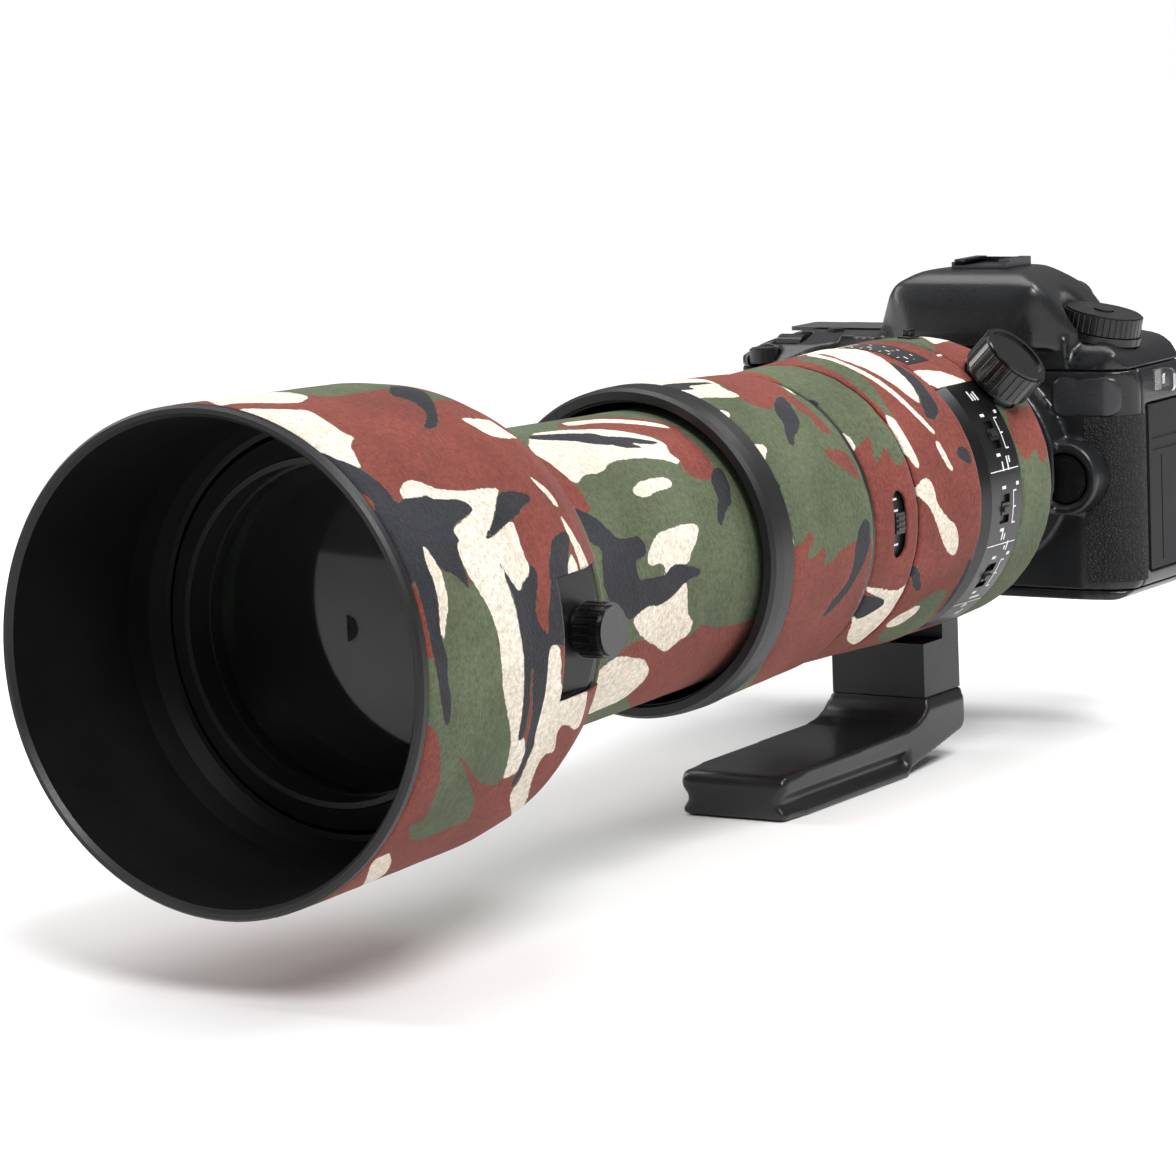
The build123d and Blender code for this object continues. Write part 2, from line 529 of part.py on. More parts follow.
with BuildPart() as rear_cover:
    add(body_form.part)
    add(body_hollow.part, mode=Mode.SUBTRACT)
    keep_box(-100, 70, SPLIT_Y + GAP, 65, BASE_SPLIT, TOP_SPLIT)
    block(55.0, 60, PORT[0], PORT[1], PORT[2], PORT[3], mode=Mode.SUBTRACT)
    block(53.4, 56.2, PORT[0] - 2, PORT[1] + 2, PORT[2] - 2, PORT[3] + 2)
    block(52.0, 60, 34, 42, 6, 17, mode=Mode.SUBTRACT)
    block(52.0, 60, 34, 42, -8, 2, mode=Mode.SUBTRACT)
    block(52.0, 60, 34, 42, -32, -14, mode=Mode.SUBTRACT)
    block(52.0, 60, 46, 53, -30, 14, mode=Mode.SUBTRACT)
    block(-96, -90, CARD[0], CARD[1], CARD[2], CARD[3], mode=Mode.SUBTRACT)
    pad_y(LCD[0], LCD[1], LCD[2] + 0.3, LCD[3] + 0.3, 2.1, 61.4, 66, mode=Mode.SUBTRACT)
    rod_y(DIAL[0], DIAL[1], 60.0, 66, 20.6, mode=Mode.SUBTRACT)
    rod_y(DIAL[0], DIAL[1], 58.6, 61.0, 22.0)
    rod_y(DIAL[0], DIAL[1], 55, 66, 3.4, mode=Mode.SUBTRACT)
    rod_y(-44, 11.5, 58, 66, 5.6, mode=Mode.SUBTRACT)
    rod_y(-52, 25, 58, 66, 4.6, mode=Mode.SUBTRACT)
    rod_y(47.5, 25, 58, 66, 4.1, mode=Mode.SUBTRACT)
    rod_y(47.8, -2, 58, 66, 3.7, mode=Mode.SUBTRACT)
save(rear_cover, "rear_cover")

with BuildPart() as top_cover:
    add(body_form.part)
    add(body_hollow.part, mode=Mode.SUBTRACT)
    keep_box(-100, 70, -5, 65, TOP_SPLIT + GAP, 80)
    # window, dial, button and eyepiece openings
    pad_z(-66, 46, 38, 20, 2, 43.2, 46, mode=Mode.SUBTRACT)
    rod_z(-80, 9.0, 28, 46, 5.6, mode=Mode.SUBTRACT)
    block(-80.6, -69.4, 15.4, 28.6, 28, 46, mode=Mode.SUBTRACT)
    rod_z(-62, 29.5, 38, 46, 3.2, mode=Mode.SUBTRACT)
    seat_rod(-4, 2, 5.6, mode=Mode.SUBTRACT)
    pad_y(0, 46.0, 23, 15, 3, 55, 66, mode=Mode.SUBTRACT)
save(top_cover, "top_cover")

with BuildPart() as bottom_plate:
    add(body_form.part)
    add(body_hollow.part, mode=Mode.SUBTRACT)
    keep_box(-100, 70, -5, 65, -50, BASE_SPLIT - GAP)
    pad_z(-74, 31, 28.6, 44.6, 2.3, -48, -40, mode=Mode.SUBTRACT)
    rod_z(0, 38, -48, -40, THREAD_R, mode=Mode.SUBTRACT)
    block(-8, 8, 30, 46, -42.62, -38)
    rod_z(0, 38, -48, -37, THREAD_R, mode=Mode.SUBTRACT)
save(bottom_plate, "bottom_plate")

with BuildPart() as body_rubber:
    plan_prism(-0.9, -39.5, 24.0)
    plan_prism(-GAP, -41, 25, mode=Mode.SUBTRACT)
    # kept on the grip and on the front beside the mount, round to the bays
    block(-54.0, 42.5, -10, 70, -50, 50, mode=Mode.SUBTRACT)
    block(-100, 70, 27.6, 80, -50, 50, mode=Mode.SUBTRACT)
    block(30, 70, -10, 70, 17.5, 40, mode=Mode.SUBTRACT)
    rod_y(38, -3, 0, 30, 13.0, mode=Mode.SUBTRACT)
save(body_rubber, "body_rubber")

# ================================================================ camera fixed pieces
with BuildPart() as body_mount:
    rod_y(0, 0, 0.05, 2.5, FLANGE_R)
    rod_y(0, 0, 2.5, 5.1, 32.0)
    rod_y(0, 0, 0, 6, THROAT_R, mode=Mode.SUBTRACT)
    for a in (70, -50, -170):
        turned([(0.4, 24.6), (2.5, 24.6), (2.5, 27.1), (0.4, 27.1)], top=a, arc=52)
    rod_y(30.9, -3, -1, 7, 1.3, mode=Mode.SUBTRACT)
save(body_mount, "body_mount")

with BuildPart() as mirror_box:
    block(-24, 24, 17.2, 40, -23, 21.5)
    rod_y(0, 0, 5.15, 17.2, 29.6)
    block(-21.5, 21.5, 17.2, 38.5, -20.5, 23, mode=Mode.SUBTRACT)
    block(-21.2, 21.2, 6.7, 17.3, -19.5, 19.4, mode=Mode.SUBTRACT)
    rod_y(0, 0, 5.0, 8, 26.0, mode=Mode.SUBTRACT)
    block(-18.5, 18.5, 38, 41, -12.5, 12.5, mode=Mode.SUBTRACT)
save(mirror_box, "mirror_box")

with BuildPart() as mirror:
    # plate leaning back at 45 degrees, hinged along its upper rear edge
    side_prism([(34.6, 15.9), (33.9, 16.6), (15.3, -2.0), (16.4, -3.1), (35.0, 15.5)], -20.0, 20.0)
    rod_x(35.0, 16.2, -20.0, 20.0, 1.0)
save(mirror, "mirror")

with BuildPart() as prism:
    side_prism([(18, 23), (39, 23), (45, 38), (45, 50), (33, 59), (19.5, 52)], -18, 18)
save(prism, "prism")

with BuildPart() as sensor_unit:
    block(-27, 27, 41.0, 42.6, -19, 18)
    block(-18.2, 18.2, 40.1, 41.0, -12.3, 12.3)
    block(-31, 31, 43.6, 45.0, -24, 22)
    block(-20, 20, 42.6, 43.6, -14, 14)
    for sx in (-24.5, 24.5):
        for sz in (-16.5, 15.5):
            rod_y(sx, sz, 42.6, 43.6, 1.6)
save(sensor_unit, "sensor_unit")

with BuildPart() as hot_shoe:
    block(-9.6, 9.6, 21.0, 40.0, HUMP_Z + GAP, HUMP_Z + 0.9)
    block(-10.6, 10.6, 38.2, 40.0, HUMP_Z + GAP, HUMP_Z + 2.6)
    for s in (1, -1):
        block(s * 9.45, s * 10.6, 21.0, 40.0, HUMP_Z + GAP, HUMP_Z + 2.9)
        block(s * 6.6, s * 10.6, 21.0, 40.0, HUMP_Z + 2.1, HUMP_Z + 2.9)
    block(-10.6, 10.6, 21.0, 23.2, HUMP_Z + 2.1, HUMP_Z + 3.0, mode=Mode.SUBTRACT)
save(hot_shoe, "hot_shoe")

with BuildPart() as rear_lcd:
    pad_y(LCD[0], LCD[1], LCD[2], LCD[3], 2.0, 61.4, 63.6)
save(rear_lcd, "rear_lcd")

with BuildPart() as top_lcd:
    pad_z(-66, 46, 37.7, 19.7, 1.9, 43.2, 44.5)
save(top_lcd, "top_lcd")

with BuildPart() as eyecup:
    pad_y(0, 46.0, 38, 26, 7, 64.05, 72.0)
    pad_y(0, 46.0, 34, 22, 7, 72.0, 75.6)
    pad_y(0, 46.0, 22, 14, 3, 60, 80, mode=Mode.SUBTRACT)
    pad_y(0, 46.0, 28, 18, 5, 72.5, 80, mode=Mode.SUBTRACT)
save(eyecup, "eyecup")

with BuildPart() as strap_lugs:
    for s, x in ((1, BODY_X1), (-1, BODY_X0)):
        block(x - s * 4.0, x + s * 0.6, 36.5, 43.5, 24.5, 31.5)
        with BuildSketch(FRONT.offset(-41.0)) as lug:
            with Locations((x + s * 2.6, 28.0)):
                RectangleRounded(7.6, 8.0, 2.0)
            with Locations((x + s * 3.6, 28.0)):
                RectangleRounded(2.6, 4.6, 1.0, mode=Mode.SUBTRACT)
        extrude(lug.sketch, amount=2.0)
    add(body_form.part, mode=Mode.SUBTRACT)
save(strap_lugs, "strap_lugs")

with BuildPart() as battery:
    block(-86.5, -65.5, 14, 50, -42.0, 14.0)
save(battery, "battery")

# ================================================================ camera moving pieces
with BuildPart() as mode_dial:
    with BuildSketch(SEAT.offset(3.2)) as dial_outline:
        Circle(13.9)
        with PolarLocations(14.1, 40):
            Circle(0.45, mode=Mode.SUBTRACT)
    extrude(dial_outline.sketch, amount=6.2)
    seat_rod(9.4, 10.0, 13.0)
    seat_rod(-2.0, 3.2, 5.2)
    seat_rod(-3, 12, 3.6, mode=Mode.SUBTRACT)
save(mode_dial, "mode_dial")

with BuildPart() as mode_lock_button:
    seat_rod(-1.5, 10.5, 3.2)
save(mode_lock_button, "mode_lock_button")

with BuildPart() as power_switch:
    seat_rod(0.35, 2.85, 14.6)
    with BuildSketch(SEAT.offset(0.35)) as lever:
        with Locations((0, -11.9)):
            Circle(3.0)
    extrude(lever.sketch, amount=2.5)
    seat_rod(-1, 4, 5.6, mode=Mode.SUBTRACT)
save(power_switch, "power_switch")

with BuildPart() as shutter_button:
    rod_z(-80, 9.0, 34.6, 39.4, 5.2)
    rod_z(-80, 9.0, 39.4, 39.9, 4.5)
save(shutter_button, "shutter_button")

with BuildPart() as main_dial:
    with BuildSketch(SECTION.offset(-80.0)) as wheel:
        with Locations((22.0, 37.4)):
            Circle(6.1)
            with PolarLocations(6.2, 24):
                Circle(0.3, mode=Mode.SUBTRACT)
    extrude(wheel.sketch, amount=10.0)
save(main_dial, "main_dial")

with BuildPart() as top_button:
    rod_z(-62, 29.5, 41.0, 45.0, 2.8)
save(top_button, "top_button")

with BuildPart() as quick_dial:
    with BuildSketch(FRONT.offset(-64.6)) as ring_outline:
        with Locations(DIAL):
            Circle(20.2)
            with PolarLocations(20.4, 48):
                Circle(0.42, mode=Mode.SUBTRACT)
            Circle(9.0, mode=Mode.SUBTRACT)
    extrude(ring_outline.sketch, amount=3.2)
save(quick_dial, "quick_dial")

with BuildPart() as set_button:
    rod_y(DIAL[0], DIAL[1], 62.4, 64.3, 8.5)
    rod_y(DIAL[0], DIAL[1], 57.0, 62.4, 3.0)
save(set_button, "set_button")

with BuildPart() as joystick:
    rod_y(-44, 11.5, 60.8, 63.4, 4.8)
    rod_y(-44, 11.5, 63.4, 65.2, 3.4)
save(joystick, "joystick")

with BuildPart() as af_on_button:
    rod_y(-52, 25, 60.8, 64.2, 4.2)
save(af_on_button, "af_on_button")

with BuildPart() as menu_button:
    rod_y(47.5, 25, 60.8, 64.0, 3.7)
save(menu_button, "menu_button")

with BuildPart() as play_button:
    rod_y(47.8, -2, 60.8, 64.0, 3.3)
save(play_button, "play_button")

with BuildPart() as lens_release:
    rod_y(38, -3, 6.2, 9.6, 8.2)
    rod_y(38, -3, 5.6, 6.2, 7.2)
    rod_y(38, -3, 9.6, 20.0, 4.0)
    block(30.4, 38, 18.0, 20.0, -4.2, -1.8)
    rod_y(30.9, -3, -1.5, 20.0, 1.0)
save(lens_release, "lens_release")

with BuildPart() as port_cover:
    block(56.6, 58.5, PORT[0] + 0.5, PORT[1] - 0.5, PORT[2] + 0.5, PORT[3] - 0.5)
    for z in (8.5, 4.5):
        block(58.2, 58.6, PORT[0] + 2.5, PORT[1] - 2.5, z - 0.5, z + 0.5, mode=Mode.SUBTRACT)
    block(58.2, 58.6, PORT[0] + 9.6, PORT[0] + 10.4, PORT[2] + 3, 2.0, mode=Mode.SUBTRACT)
save(port_cover, "port_cover")

with BuildPart() as card_door:
    block(BODY_X0, -91.6, CARD[0] + 0.5, CARD[1] - 0.5, CARD[2] + 0.5, CARD[3] - 0.5)
    for z in (-8, -5, -2, 1, 4):
        block(BODY_X0 - 0.1, BODY_X0 + 0.5, CARD[1] - 7, CARD[1] - 2, z - 0.6, z + 0.6, mode=Mode.SUBTRACT)
save(card_door, "card_door")

with BuildPart() as battery_door:
    pad_z(-74, 31, 27.6, 43.6, 1.9, -46.0, -44.0)
    pad_z(-74, 48.5, 10, 4, 1.0, -46.5, -45.4, mode=Mode.SUBTRACT)
save(battery_door, "battery_door")
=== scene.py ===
import math

import bmesh
import bpy
import numpy as np
from mathutils import Matrix, Vector
from mathutils.bvhtree import BVHTree


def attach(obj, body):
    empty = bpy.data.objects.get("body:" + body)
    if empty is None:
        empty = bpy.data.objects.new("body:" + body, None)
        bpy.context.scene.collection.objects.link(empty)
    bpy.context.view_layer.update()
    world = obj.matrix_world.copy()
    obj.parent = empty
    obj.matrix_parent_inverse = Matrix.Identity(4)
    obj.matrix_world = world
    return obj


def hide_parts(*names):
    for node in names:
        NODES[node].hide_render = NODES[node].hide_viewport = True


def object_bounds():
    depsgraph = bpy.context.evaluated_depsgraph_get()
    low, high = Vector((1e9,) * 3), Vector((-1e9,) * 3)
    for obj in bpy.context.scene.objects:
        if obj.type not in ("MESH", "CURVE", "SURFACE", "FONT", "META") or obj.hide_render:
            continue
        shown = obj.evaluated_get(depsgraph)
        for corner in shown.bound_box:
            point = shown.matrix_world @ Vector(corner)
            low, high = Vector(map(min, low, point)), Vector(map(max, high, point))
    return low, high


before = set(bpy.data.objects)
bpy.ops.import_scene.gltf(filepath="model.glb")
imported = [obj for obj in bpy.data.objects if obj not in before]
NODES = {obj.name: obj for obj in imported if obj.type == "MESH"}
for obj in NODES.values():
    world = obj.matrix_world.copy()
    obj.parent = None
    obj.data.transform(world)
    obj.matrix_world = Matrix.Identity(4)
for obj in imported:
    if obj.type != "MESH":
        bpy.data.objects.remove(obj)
CAD_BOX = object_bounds()

# The lens axis runs along Y, 93 mm above the foot; y_m is measured from the lens mount plane, in millimetres.
MOUNT_Y, AXIS_H = 123.5, 93.0
RNG = np.random.default_rng(7)


def P(x, ym, z):
    """A point given in millimetres from the lens axis and the mount plane, in the row frame in metres."""
    return Vector((x / 1000, (ym + MOUNT_Y) / 1000, (z + AXIS_H) / 1000))


# ---------------------------------------------------------------- materials
def srgb(r, g, b):
    def f(c):
        c /= 255.0
        return c / 12.92 if c <= 0.04045 else ((c + 0.055) / 1.055) ** 2.4

    return (f(r), f(g), f(b), 1.0)


class Mat:
    """A small helper that builds a node material."""

    def __init__(self, name):
        self.m = bpy.data.materials.new(name)
        self.m.use_nodes = True
        self.t = self.m.node_tree
        self.b = self.t.nodes["Principled BSDF"]
        self.co = self.t.nodes.new("ShaderNodeTexCoord").outputs["Object"]

    def set(self, **kw):
        for k, v in kw.items():
            self.b.inputs[k.replace("_", " ")].default_value = v
        return self

    def new(self, kind, **kw):
        n = self.t.nodes.new(kind)
        for k, v in kw.items():
            setattr(n, k, v)
        return n

    def link(self, a, b):
        self.t.links.new(a, b)

    def noise(self, scale, detail=2.0, rough=0.5, vec=None):
        n = self.new("ShaderNodeTexNoise")
        n.inputs["Scale"].default_value = scale
        n.inputs["Detail"].default_value = detail
        n.inputs["Roughness"].default_value = rough
        self.link(vec or self.co, n.inputs["Vector"])
        return n.outputs["Fac"]

    def voronoi(self, scale, feature="F1", vec=None, rnd=1.0):
        n = self.new("ShaderNodeTexVoronoi", feature=feature)
        n.inputs["Scale"].default_value = scale
        n.inputs["Randomness"].default_value = rnd
        self.link(vec or self.co, n.inputs["Vector"])
        return n.outputs["Distance"]

    def ramp(self, src, lo, hi, a=0.0, b=1.0, smooth=False):
        n = self.new("ShaderNodeMapRange")
        if smooth:
            n.interpolation_type = "SMOOTHSTEP"
        n.inputs["From Min"].default_value, n.inputs["From Max"].default_value = lo, hi
        n.inputs["To Min"].default_value, n.inputs["To Max"].default_value = a, b
        self.link(src, n.inputs["Value"])
        return n.outputs["Result"]

    def math(self, op, a, b=None):
        n = self.new("ShaderNodeMath", operation=op)
        for i, v in enumerate((a, b)):
            if v is None:
                continue
            if isinstance(v, (int, float)):
                n.inputs[i].default_value = v
            else:
                self.link(v, n.inputs[i])
        return n.outputs[0]

    def mix(self, fac, a, b, mode="MIX"):
        n = self.new("ShaderNodeMix", data_type="RGBA", blend_type=mode)
        for sock, v in ((n.inputs[0], fac), (n.inputs[6], a), (n.inputs[7], b)):
            if isinstance(v, (int, float, tuple)):
                sock.default_value = v
            else:
                self.link(v, sock)
        return n.outputs[2]

    def attr(self, name):
        return self.new("ShaderNodeAttribute", attribute_name=name).outputs["Fac"]

    def bump(self, height, strength=0.3, distance=0.0002, normal=None):
        n = self.new("ShaderNodeBump")
        n.inputs["Strength"].default_value = strength
        n.inputs["Distance"].default_value = distance
        self.link(height, n.inputs["Height"])
        if normal is not None:
            self.link(normal, n.inputs["Normal"])
        return n.outputs["Normal"]

    def out(self, color=None, rough=None, normal=None):
        if color is not None:
            self.link(color, self.b.inputs["Base Color"])
        if rough is not None:
            self.link(rough, self.b.inputs["Roughness"])
        if normal is not None:
            self.link(normal, self.b.inputs["Normal"])
        return self.m


def camo():
    m = Mat("camo_fabric").set(Sheen_Weight=0.09, Sheen_Roughness=0.45, Specular_IOR_Level=0.2)
    m.b.inputs["Sheen Tint"].default_value = (1, 0.97, 0.93, 1)
    jitter = m.ramp(m.noise(420, 3, 0.6), 0.3, 0.7, -0.28, 0.28)
    cloud = m.noise(34, 4, 0.55)
    speck = m.noise(620, 3, 0.65)
    cells = m.voronoi(1500)
    col = m.mix(m.ramp(cloud, 0.35, 0.65), srgb(80, 89, 66), srgb(95, 104, 79))
    red = m.mix(m.ramp(cloud, 0.35, 0.65), srgb(116, 57, 49), srgb(133, 67, 57))
    dark = m.mix(m.ramp(cloud, 0.35, 0.65), srgb(38, 39, 44), srgb(51, 52, 58))
    cream = m.mix(m.ramp(cloud, 0.35, 0.65), srgb(224, 211, 194), srgb(237, 227, 212))
    for name, c in (("f_red", red), ("f_dark", dark), ("f_cream", cream)):
        field = m.math("ADD", m.attr(name), jitter)
        col = m.mix(m.ramp(field, -0.14, 0.14), col, c)
    # yarn speckle, and painted shade: a little darker where the knit dips
    grain = m.ramp(speck, 0.34, 0.66, 0.76, 1.2)
    knit_dip_shade = m.ramp(cells, 0.15, 0.75, 1.06, 0.86)
    g = m.math("MULTIPLY", grain, knit_dip_shade)
    comb = m.new("ShaderNodeCombineColor")
    for s in ("Red", "Green", "Blue"):
        m.link(g, comb.inputs[s])
    col = m.mix(1.0, col, comb.outputs[0], "MULTIPLY")
    n1 = m.bump(cells, 0.5, 0.00028)
    n2 = m.bump(speck, 0.4, 0.00035, n1)
    n3 = m.bump(m.noise(90, 3), 0.12, 0.0009, n2)
    return m.out(col, m.ramp(speck, 0.3, 0.7, 0.84, 0.95), n3)


def plastic(name, base, rough, grain=2400, bump=0.12, dist=0.00012, spread=0.12, coat=0.0, spec=0.5, edge_wear_and_highlight=0.0):
    """Moulded plastic or paint: fine spark-eroded grain, slight cloudiness in colour and gloss."""
    m = Mat(name).set(Specular_IOR_Level=spec)
    if coat:
        m.set(Coat_Weight=coat, Coat_Roughness=0.08)
    big = m.noise(22, 4, 0.6)
    fine = m.noise(grain, 2, 0.6)
    lo = tuple(c * (1 - spread) for c in base[:3]) + (1,)
    hi = tuple(min(1, c * (1 + spread)) for c in base[:3]) + (1,)
    col = m.mix(m.ramp(big, 0.35, 0.65), lo, hi)
    col = m.mix(m.ramp(fine, 0.45, 0.75, 0.0, 0.35), col, tuple(min(1, c * 1.5 + 0.002) for c in base[:3]) + (1,))
    if edge_wear_and_highlight:
        # lighter on the raised edges: partly rubbed wear where hands and tables rub them, partly a painted edge
        # highlight
        geo = m.new("ShaderNodeNewGeometry").outputs["Pointiness"]
        edge = m.math("MULTIPLY", m.ramp(geo, 0.53, 0.62), m.ramp(m.noise(160, 4, 0.7), 0.42, 0.62))
        col = m.mix(m.math("MULTIPLY", edge, edge_wear_and_highlight), col, tuple(min(1, c * 4 + 0.03) for c in base[:3]) + (1,))
    r = m.math("ADD", m.ramp(big, 0.3, 0.7, rough - 0.05, rough + 0.05), m.ramp(fine, 0.3, 0.7, -0.05, 0.05))
    return m.out(col, r, m.bump(fine, bump, dist))


def leather():
    m = Mat("leatherette").set(Specular_IOR_Level=0.38)
    warp = m.noise(260, 2)
    v = m.new("ShaderNodeVectorMath", operation="SCALE")
    cmb = m.new("ShaderNodeCombineXYZ")
    for s in ("X", "Y", "Z"):
        m.link(warp, cmb.inputs[s])
    m.link(cmb.outputs[0], v.inputs[0])
    v.inputs["Scale"].default_value = 0.0009
    add = m.new("ShaderNodeVectorMath", operation="ADD")
    m.link(m.co, add.inputs[0])
    m.link(v.outputs[0], add.inputs[1])
    cell = m.voronoi(820, "F1", add.outputs[0])
    crack = m.voronoi(820, "DISTANCE_TO_EDGE", add.outputs[0])
    pebble = m.ramp(crack, 0.0, 0.28, 0.0, 1.0, True)
    big = m.noise(30, 4)
    # painted shade: the grooves between the pebbles are darker than the pebble tops
    col = m.mix(pebble, srgb(9, 9, 10), srgb(27, 28, 30))
    col = m.mix(m.ramp(big, 0.35, 0.65, 0, 0.35), col, srgb(35, 36, 39))
    n1 = m.bump(pebble, 0.9, 0.00035)
    n2 = m.bump(m.noise(3200, 2), 0.2, 0.0001, n1)
    return m.out(col, m.ramp(cell, 0.1, 0.6, 0.5, 0.68), n2)


def metal(name, base, rough, brushed=(1, 1, 1), bump=0.06):
    m = Mat(name).set(Metallic=1.0)
    mp = m.new("ShaderNodeMapping")
    mp.inputs["Scale"].default_value = brushed
    m.link(m.co, mp.inputs["Vector"])
    scratch = m.noise(900, 4, 0.7, mp.outputs[0])
    big = m.noise(60, 3)
    lo, hi = tuple(c * 0.82 for c in base[:3]) + (1,), base
    col = m.mix(m.ramp(scratch, 0.3, 0.7), lo, hi)
    return m.out(col, m.math("ADD", m.ramp(scratch, 0.3, 0.7, rough - 0.06, rough + 0.08), m.ramp(big, 0.3, 0.7, -0.03, 0.03)), m.bump(scratch, bump, 0.0001))


def glass(name, tint, depth, rough=0.015, coat=1.0, spec=0.35):
    """A coated element over a black barrel: dark body, mirror-like skin and a faint cast in the coating."""
    m = Mat(name).set(Coat_Weight=coat, Coat_Roughness=0.01, Coat_IOR=1.32, IOR=1.45, Specular_IOR_Level=spec)
    m.b.inputs["Coat Tint"].default_value = tint
    m.b.inputs["Transmission Weight"].default_value = depth
    smear = m.noise(26, 4, 0.6)
    col = m.mix(m.ramp(smear, 0.3, 0.7), (0.012, 0.016, 0.014, 1), (0.02, 0.026, 0.02, 1))
    if depth > 0.5:
        col = m.mix(m.ramp(smear, 0.3, 0.7), (0.05, 0.062, 0.05, 1), (0.075, 0.09, 0.075, 1))
    return m.out(col, m.ramp(m.noise(220, 3), 0.3, 0.7, rough, rough + 0.02))


def screen(name):
    m = Mat(name).set(Coat_Weight=0.6, Coat_Roughness=0.03, Specular_IOR_Level=0.5)
    smear = m.noise(48, 5, 0.65)
    col = m.mix(m.ramp(smear, 0.4, 0.7), (0.006, 0.007, 0.009, 1), (0.011, 0.012, 0.015, 1))
    return m.out(col, m.ramp(smear, 0.35, 0.7, 0.06, 0.16))


M = {
    "camo": camo(),
    "hood": plastic("hood_black", srgb(13, 13, 14), 0.45, 1900, 0.18, edge_wear_and_highlight=0.0, spec=0.45),
    "barrel": plastic("barrel_black", srgb(20, 20, 22), 0.42, 2200),
    "ring": plastic("ring_rubber", srgb(23, 23, 25), 0.42, 1500, 0.3, 0.00016, spec=0.45),
    "foot": plastic("foot_paint", srgb(17, 17, 19), 0.34, 1900, 0.12, edge_wear_and_highlight=0.15, coat=0.15),
    "knob": plastic("knob_gloss", srgb(12, 12, 13), 0.26, 2600, 0.06, coat=0.35),
    "panel": plastic("panel_black", srgb(10, 10, 12), 0.34, 2600, 0.08, coat=0.1, spec=0.4),
    # painted highlight: the front bevel of the switch panel gets a lighter grey where light catches it
    "bevel": plastic("panel_bevel_highlight", srgb(36, 37, 40), 0.40, 2000, 0.12),
    "switch": plastic("switch_black", srgb(30, 30, 32), 0.42, 2000, 0.12),
    "body": plastic("body_paint", srgb(24, 25, 27), 0.34, 1300, 0.26, 0.00016, spread=0.08, edge_wear_and_highlight=0.08, coat=0.12),
    "dial": plastic("dial_black", srgb(15, 15, 17), 0.34, 2100, 0.15, edge_wear_and_highlight=0.2),
    "button": plastic("button_black", srgb(24, 24, 26), 0.36, 2400, 0.1),
    "rubber": plastic("soft_rubber", srgb(22, 23, 25), 0.62, 1400, 0.3, 0.00016, spec=0.35),
    # also used for the sound-hole discs, where it paints the shade of a hole
    "inside": plastic("flocked_black_and_hole_shade", srgb(14, 14, 15), 0.85, 1600, 0.4, spec=0.2),
    "battery": plastic("battery_grey", srgb(70, 72, 76), 0.5, 1900, 0.1),
    "white": plastic("mark_white", srgb(226, 226, 222), 0.55, 2200, 0.05, spread=0.04),
    "badge": plastic("badge_plate", srgb(46, 47, 50), 0.32, 1700, 0.12, coat=0.15),
    "leather": leather(),
    "steel": metal("steel", (0.62, 0.62, 0.63, 1), 0.28, (1, 1, 6)),
    "mount": metal("mount_steel", (0.66, 0.66, 0.66, 1), 0.25, (1, 8, 1)),
    "shoe": metal("shoe_metal", (0.09, 0.09, 0.10, 1), 0.36, (1, 9, 1)),
    "silver": metal("mirror_silver", (0.86, 0.88, 0.9, 1), 0.04, (1, 1, 1), 0.0),
    "glass": glass("coated_glass", (0.86, 1.0, 0.90, 1), 0.92, 0.05, 0.04, 0.06),
    "optic": glass("optic_glass", (0.7, 0.85, 1.0, 1), 0.8),
    "window": screen("window_gloss"),
    "screen": screen("screen_cover"),
}

NODE_MAT = {
    "hood": "hood", "inner_barrel": "barrel", "zoom_ring": "ring", "focus_ring": "barrel", "main_barrel": "barrel",
    "tripod_collar": "barrel", "tripod_foot": "foot", "foot_screws": "steel", "collar_knob": "knob", "hood_screw": "knob",
    "lens_mount": "mount", "body_mount": "mount", "switch_panel": "panel", "distance_window": "window",
    "zoom_lock_switch": "switch", "focus_switch": "switch", "range_switch": "switch", "stabiliser_switch": "switch",
    "front_glass": "glass", "rear_glass": "optic", "focus_glass": "optic", "zoom_glass": "optic",
    "front_cover": "body", "rear_cover": "body", "top_cover": "body", "bottom_plate": "body", "body_rubber": "leather",
    "mirror_box": "inside", "mirror": "silver", "prism": "silver", "sensor_unit": "inside", "hot_shoe": "shoe",
    "rear_lcd": "screen", "top_lcd": "screen", "eyecup": "rubber", "strap_lugs": "steel", "battery": "battery",
    "mode_dial": "dial", "mode_lock_button": "button", "power_switch": "dial", "shutter_button": "button",
    "main_dial": "dial", "top_button": "button", "quick_dial": "dial", "set_button": "button", "joystick": "rubber",
    "af_on_button": "button", "menu_button": "button", "play_button": "button", "lens_release": "knob",
    "port_cover": "rubber", "card_door": "body", "battery_door": "body",
}


def paint(obj, mat):
    obj.data.materials.clear()
    obj.data.materials.append(mat)
    obj.data.polygons.foreach_set("material_index", np.zeros(len(obj.data.polygons), np.int32))


for node, key in NODE_MAT.items():
    paint(NODES[node], M[key])


# ---------------------------------------------------------------- mesh helpers
def make(name, verts, faces, mat, smooth=True):
    me = bpy.data.meshes.new(name)
    me.from_pydata([tuple(v) for v in verts], [], [tuple(f) for f in faces])
    me.update()
    me.materials.append(mat)
    me.polygons.foreach_set("use_smooth", [smooth] * len(me.polygons))
    o = bpy.data.objects.new(name, me)
    bpy.context.scene.collection.objects.link(o)
    return o


def apply_modifiers(o):
    dg = bpy.context.evaluated_depsgraph_get()
    me = bpy.data.meshes.new_from_object(o.evaluated_get(dg))
    o.modifiers.clear()
    o.data = me
    return o


def polar(phi_deg, ym, r):
    a = math.radians(phi_deg)
    return P(r * math.cos(a), ym, r * math.sin(a))


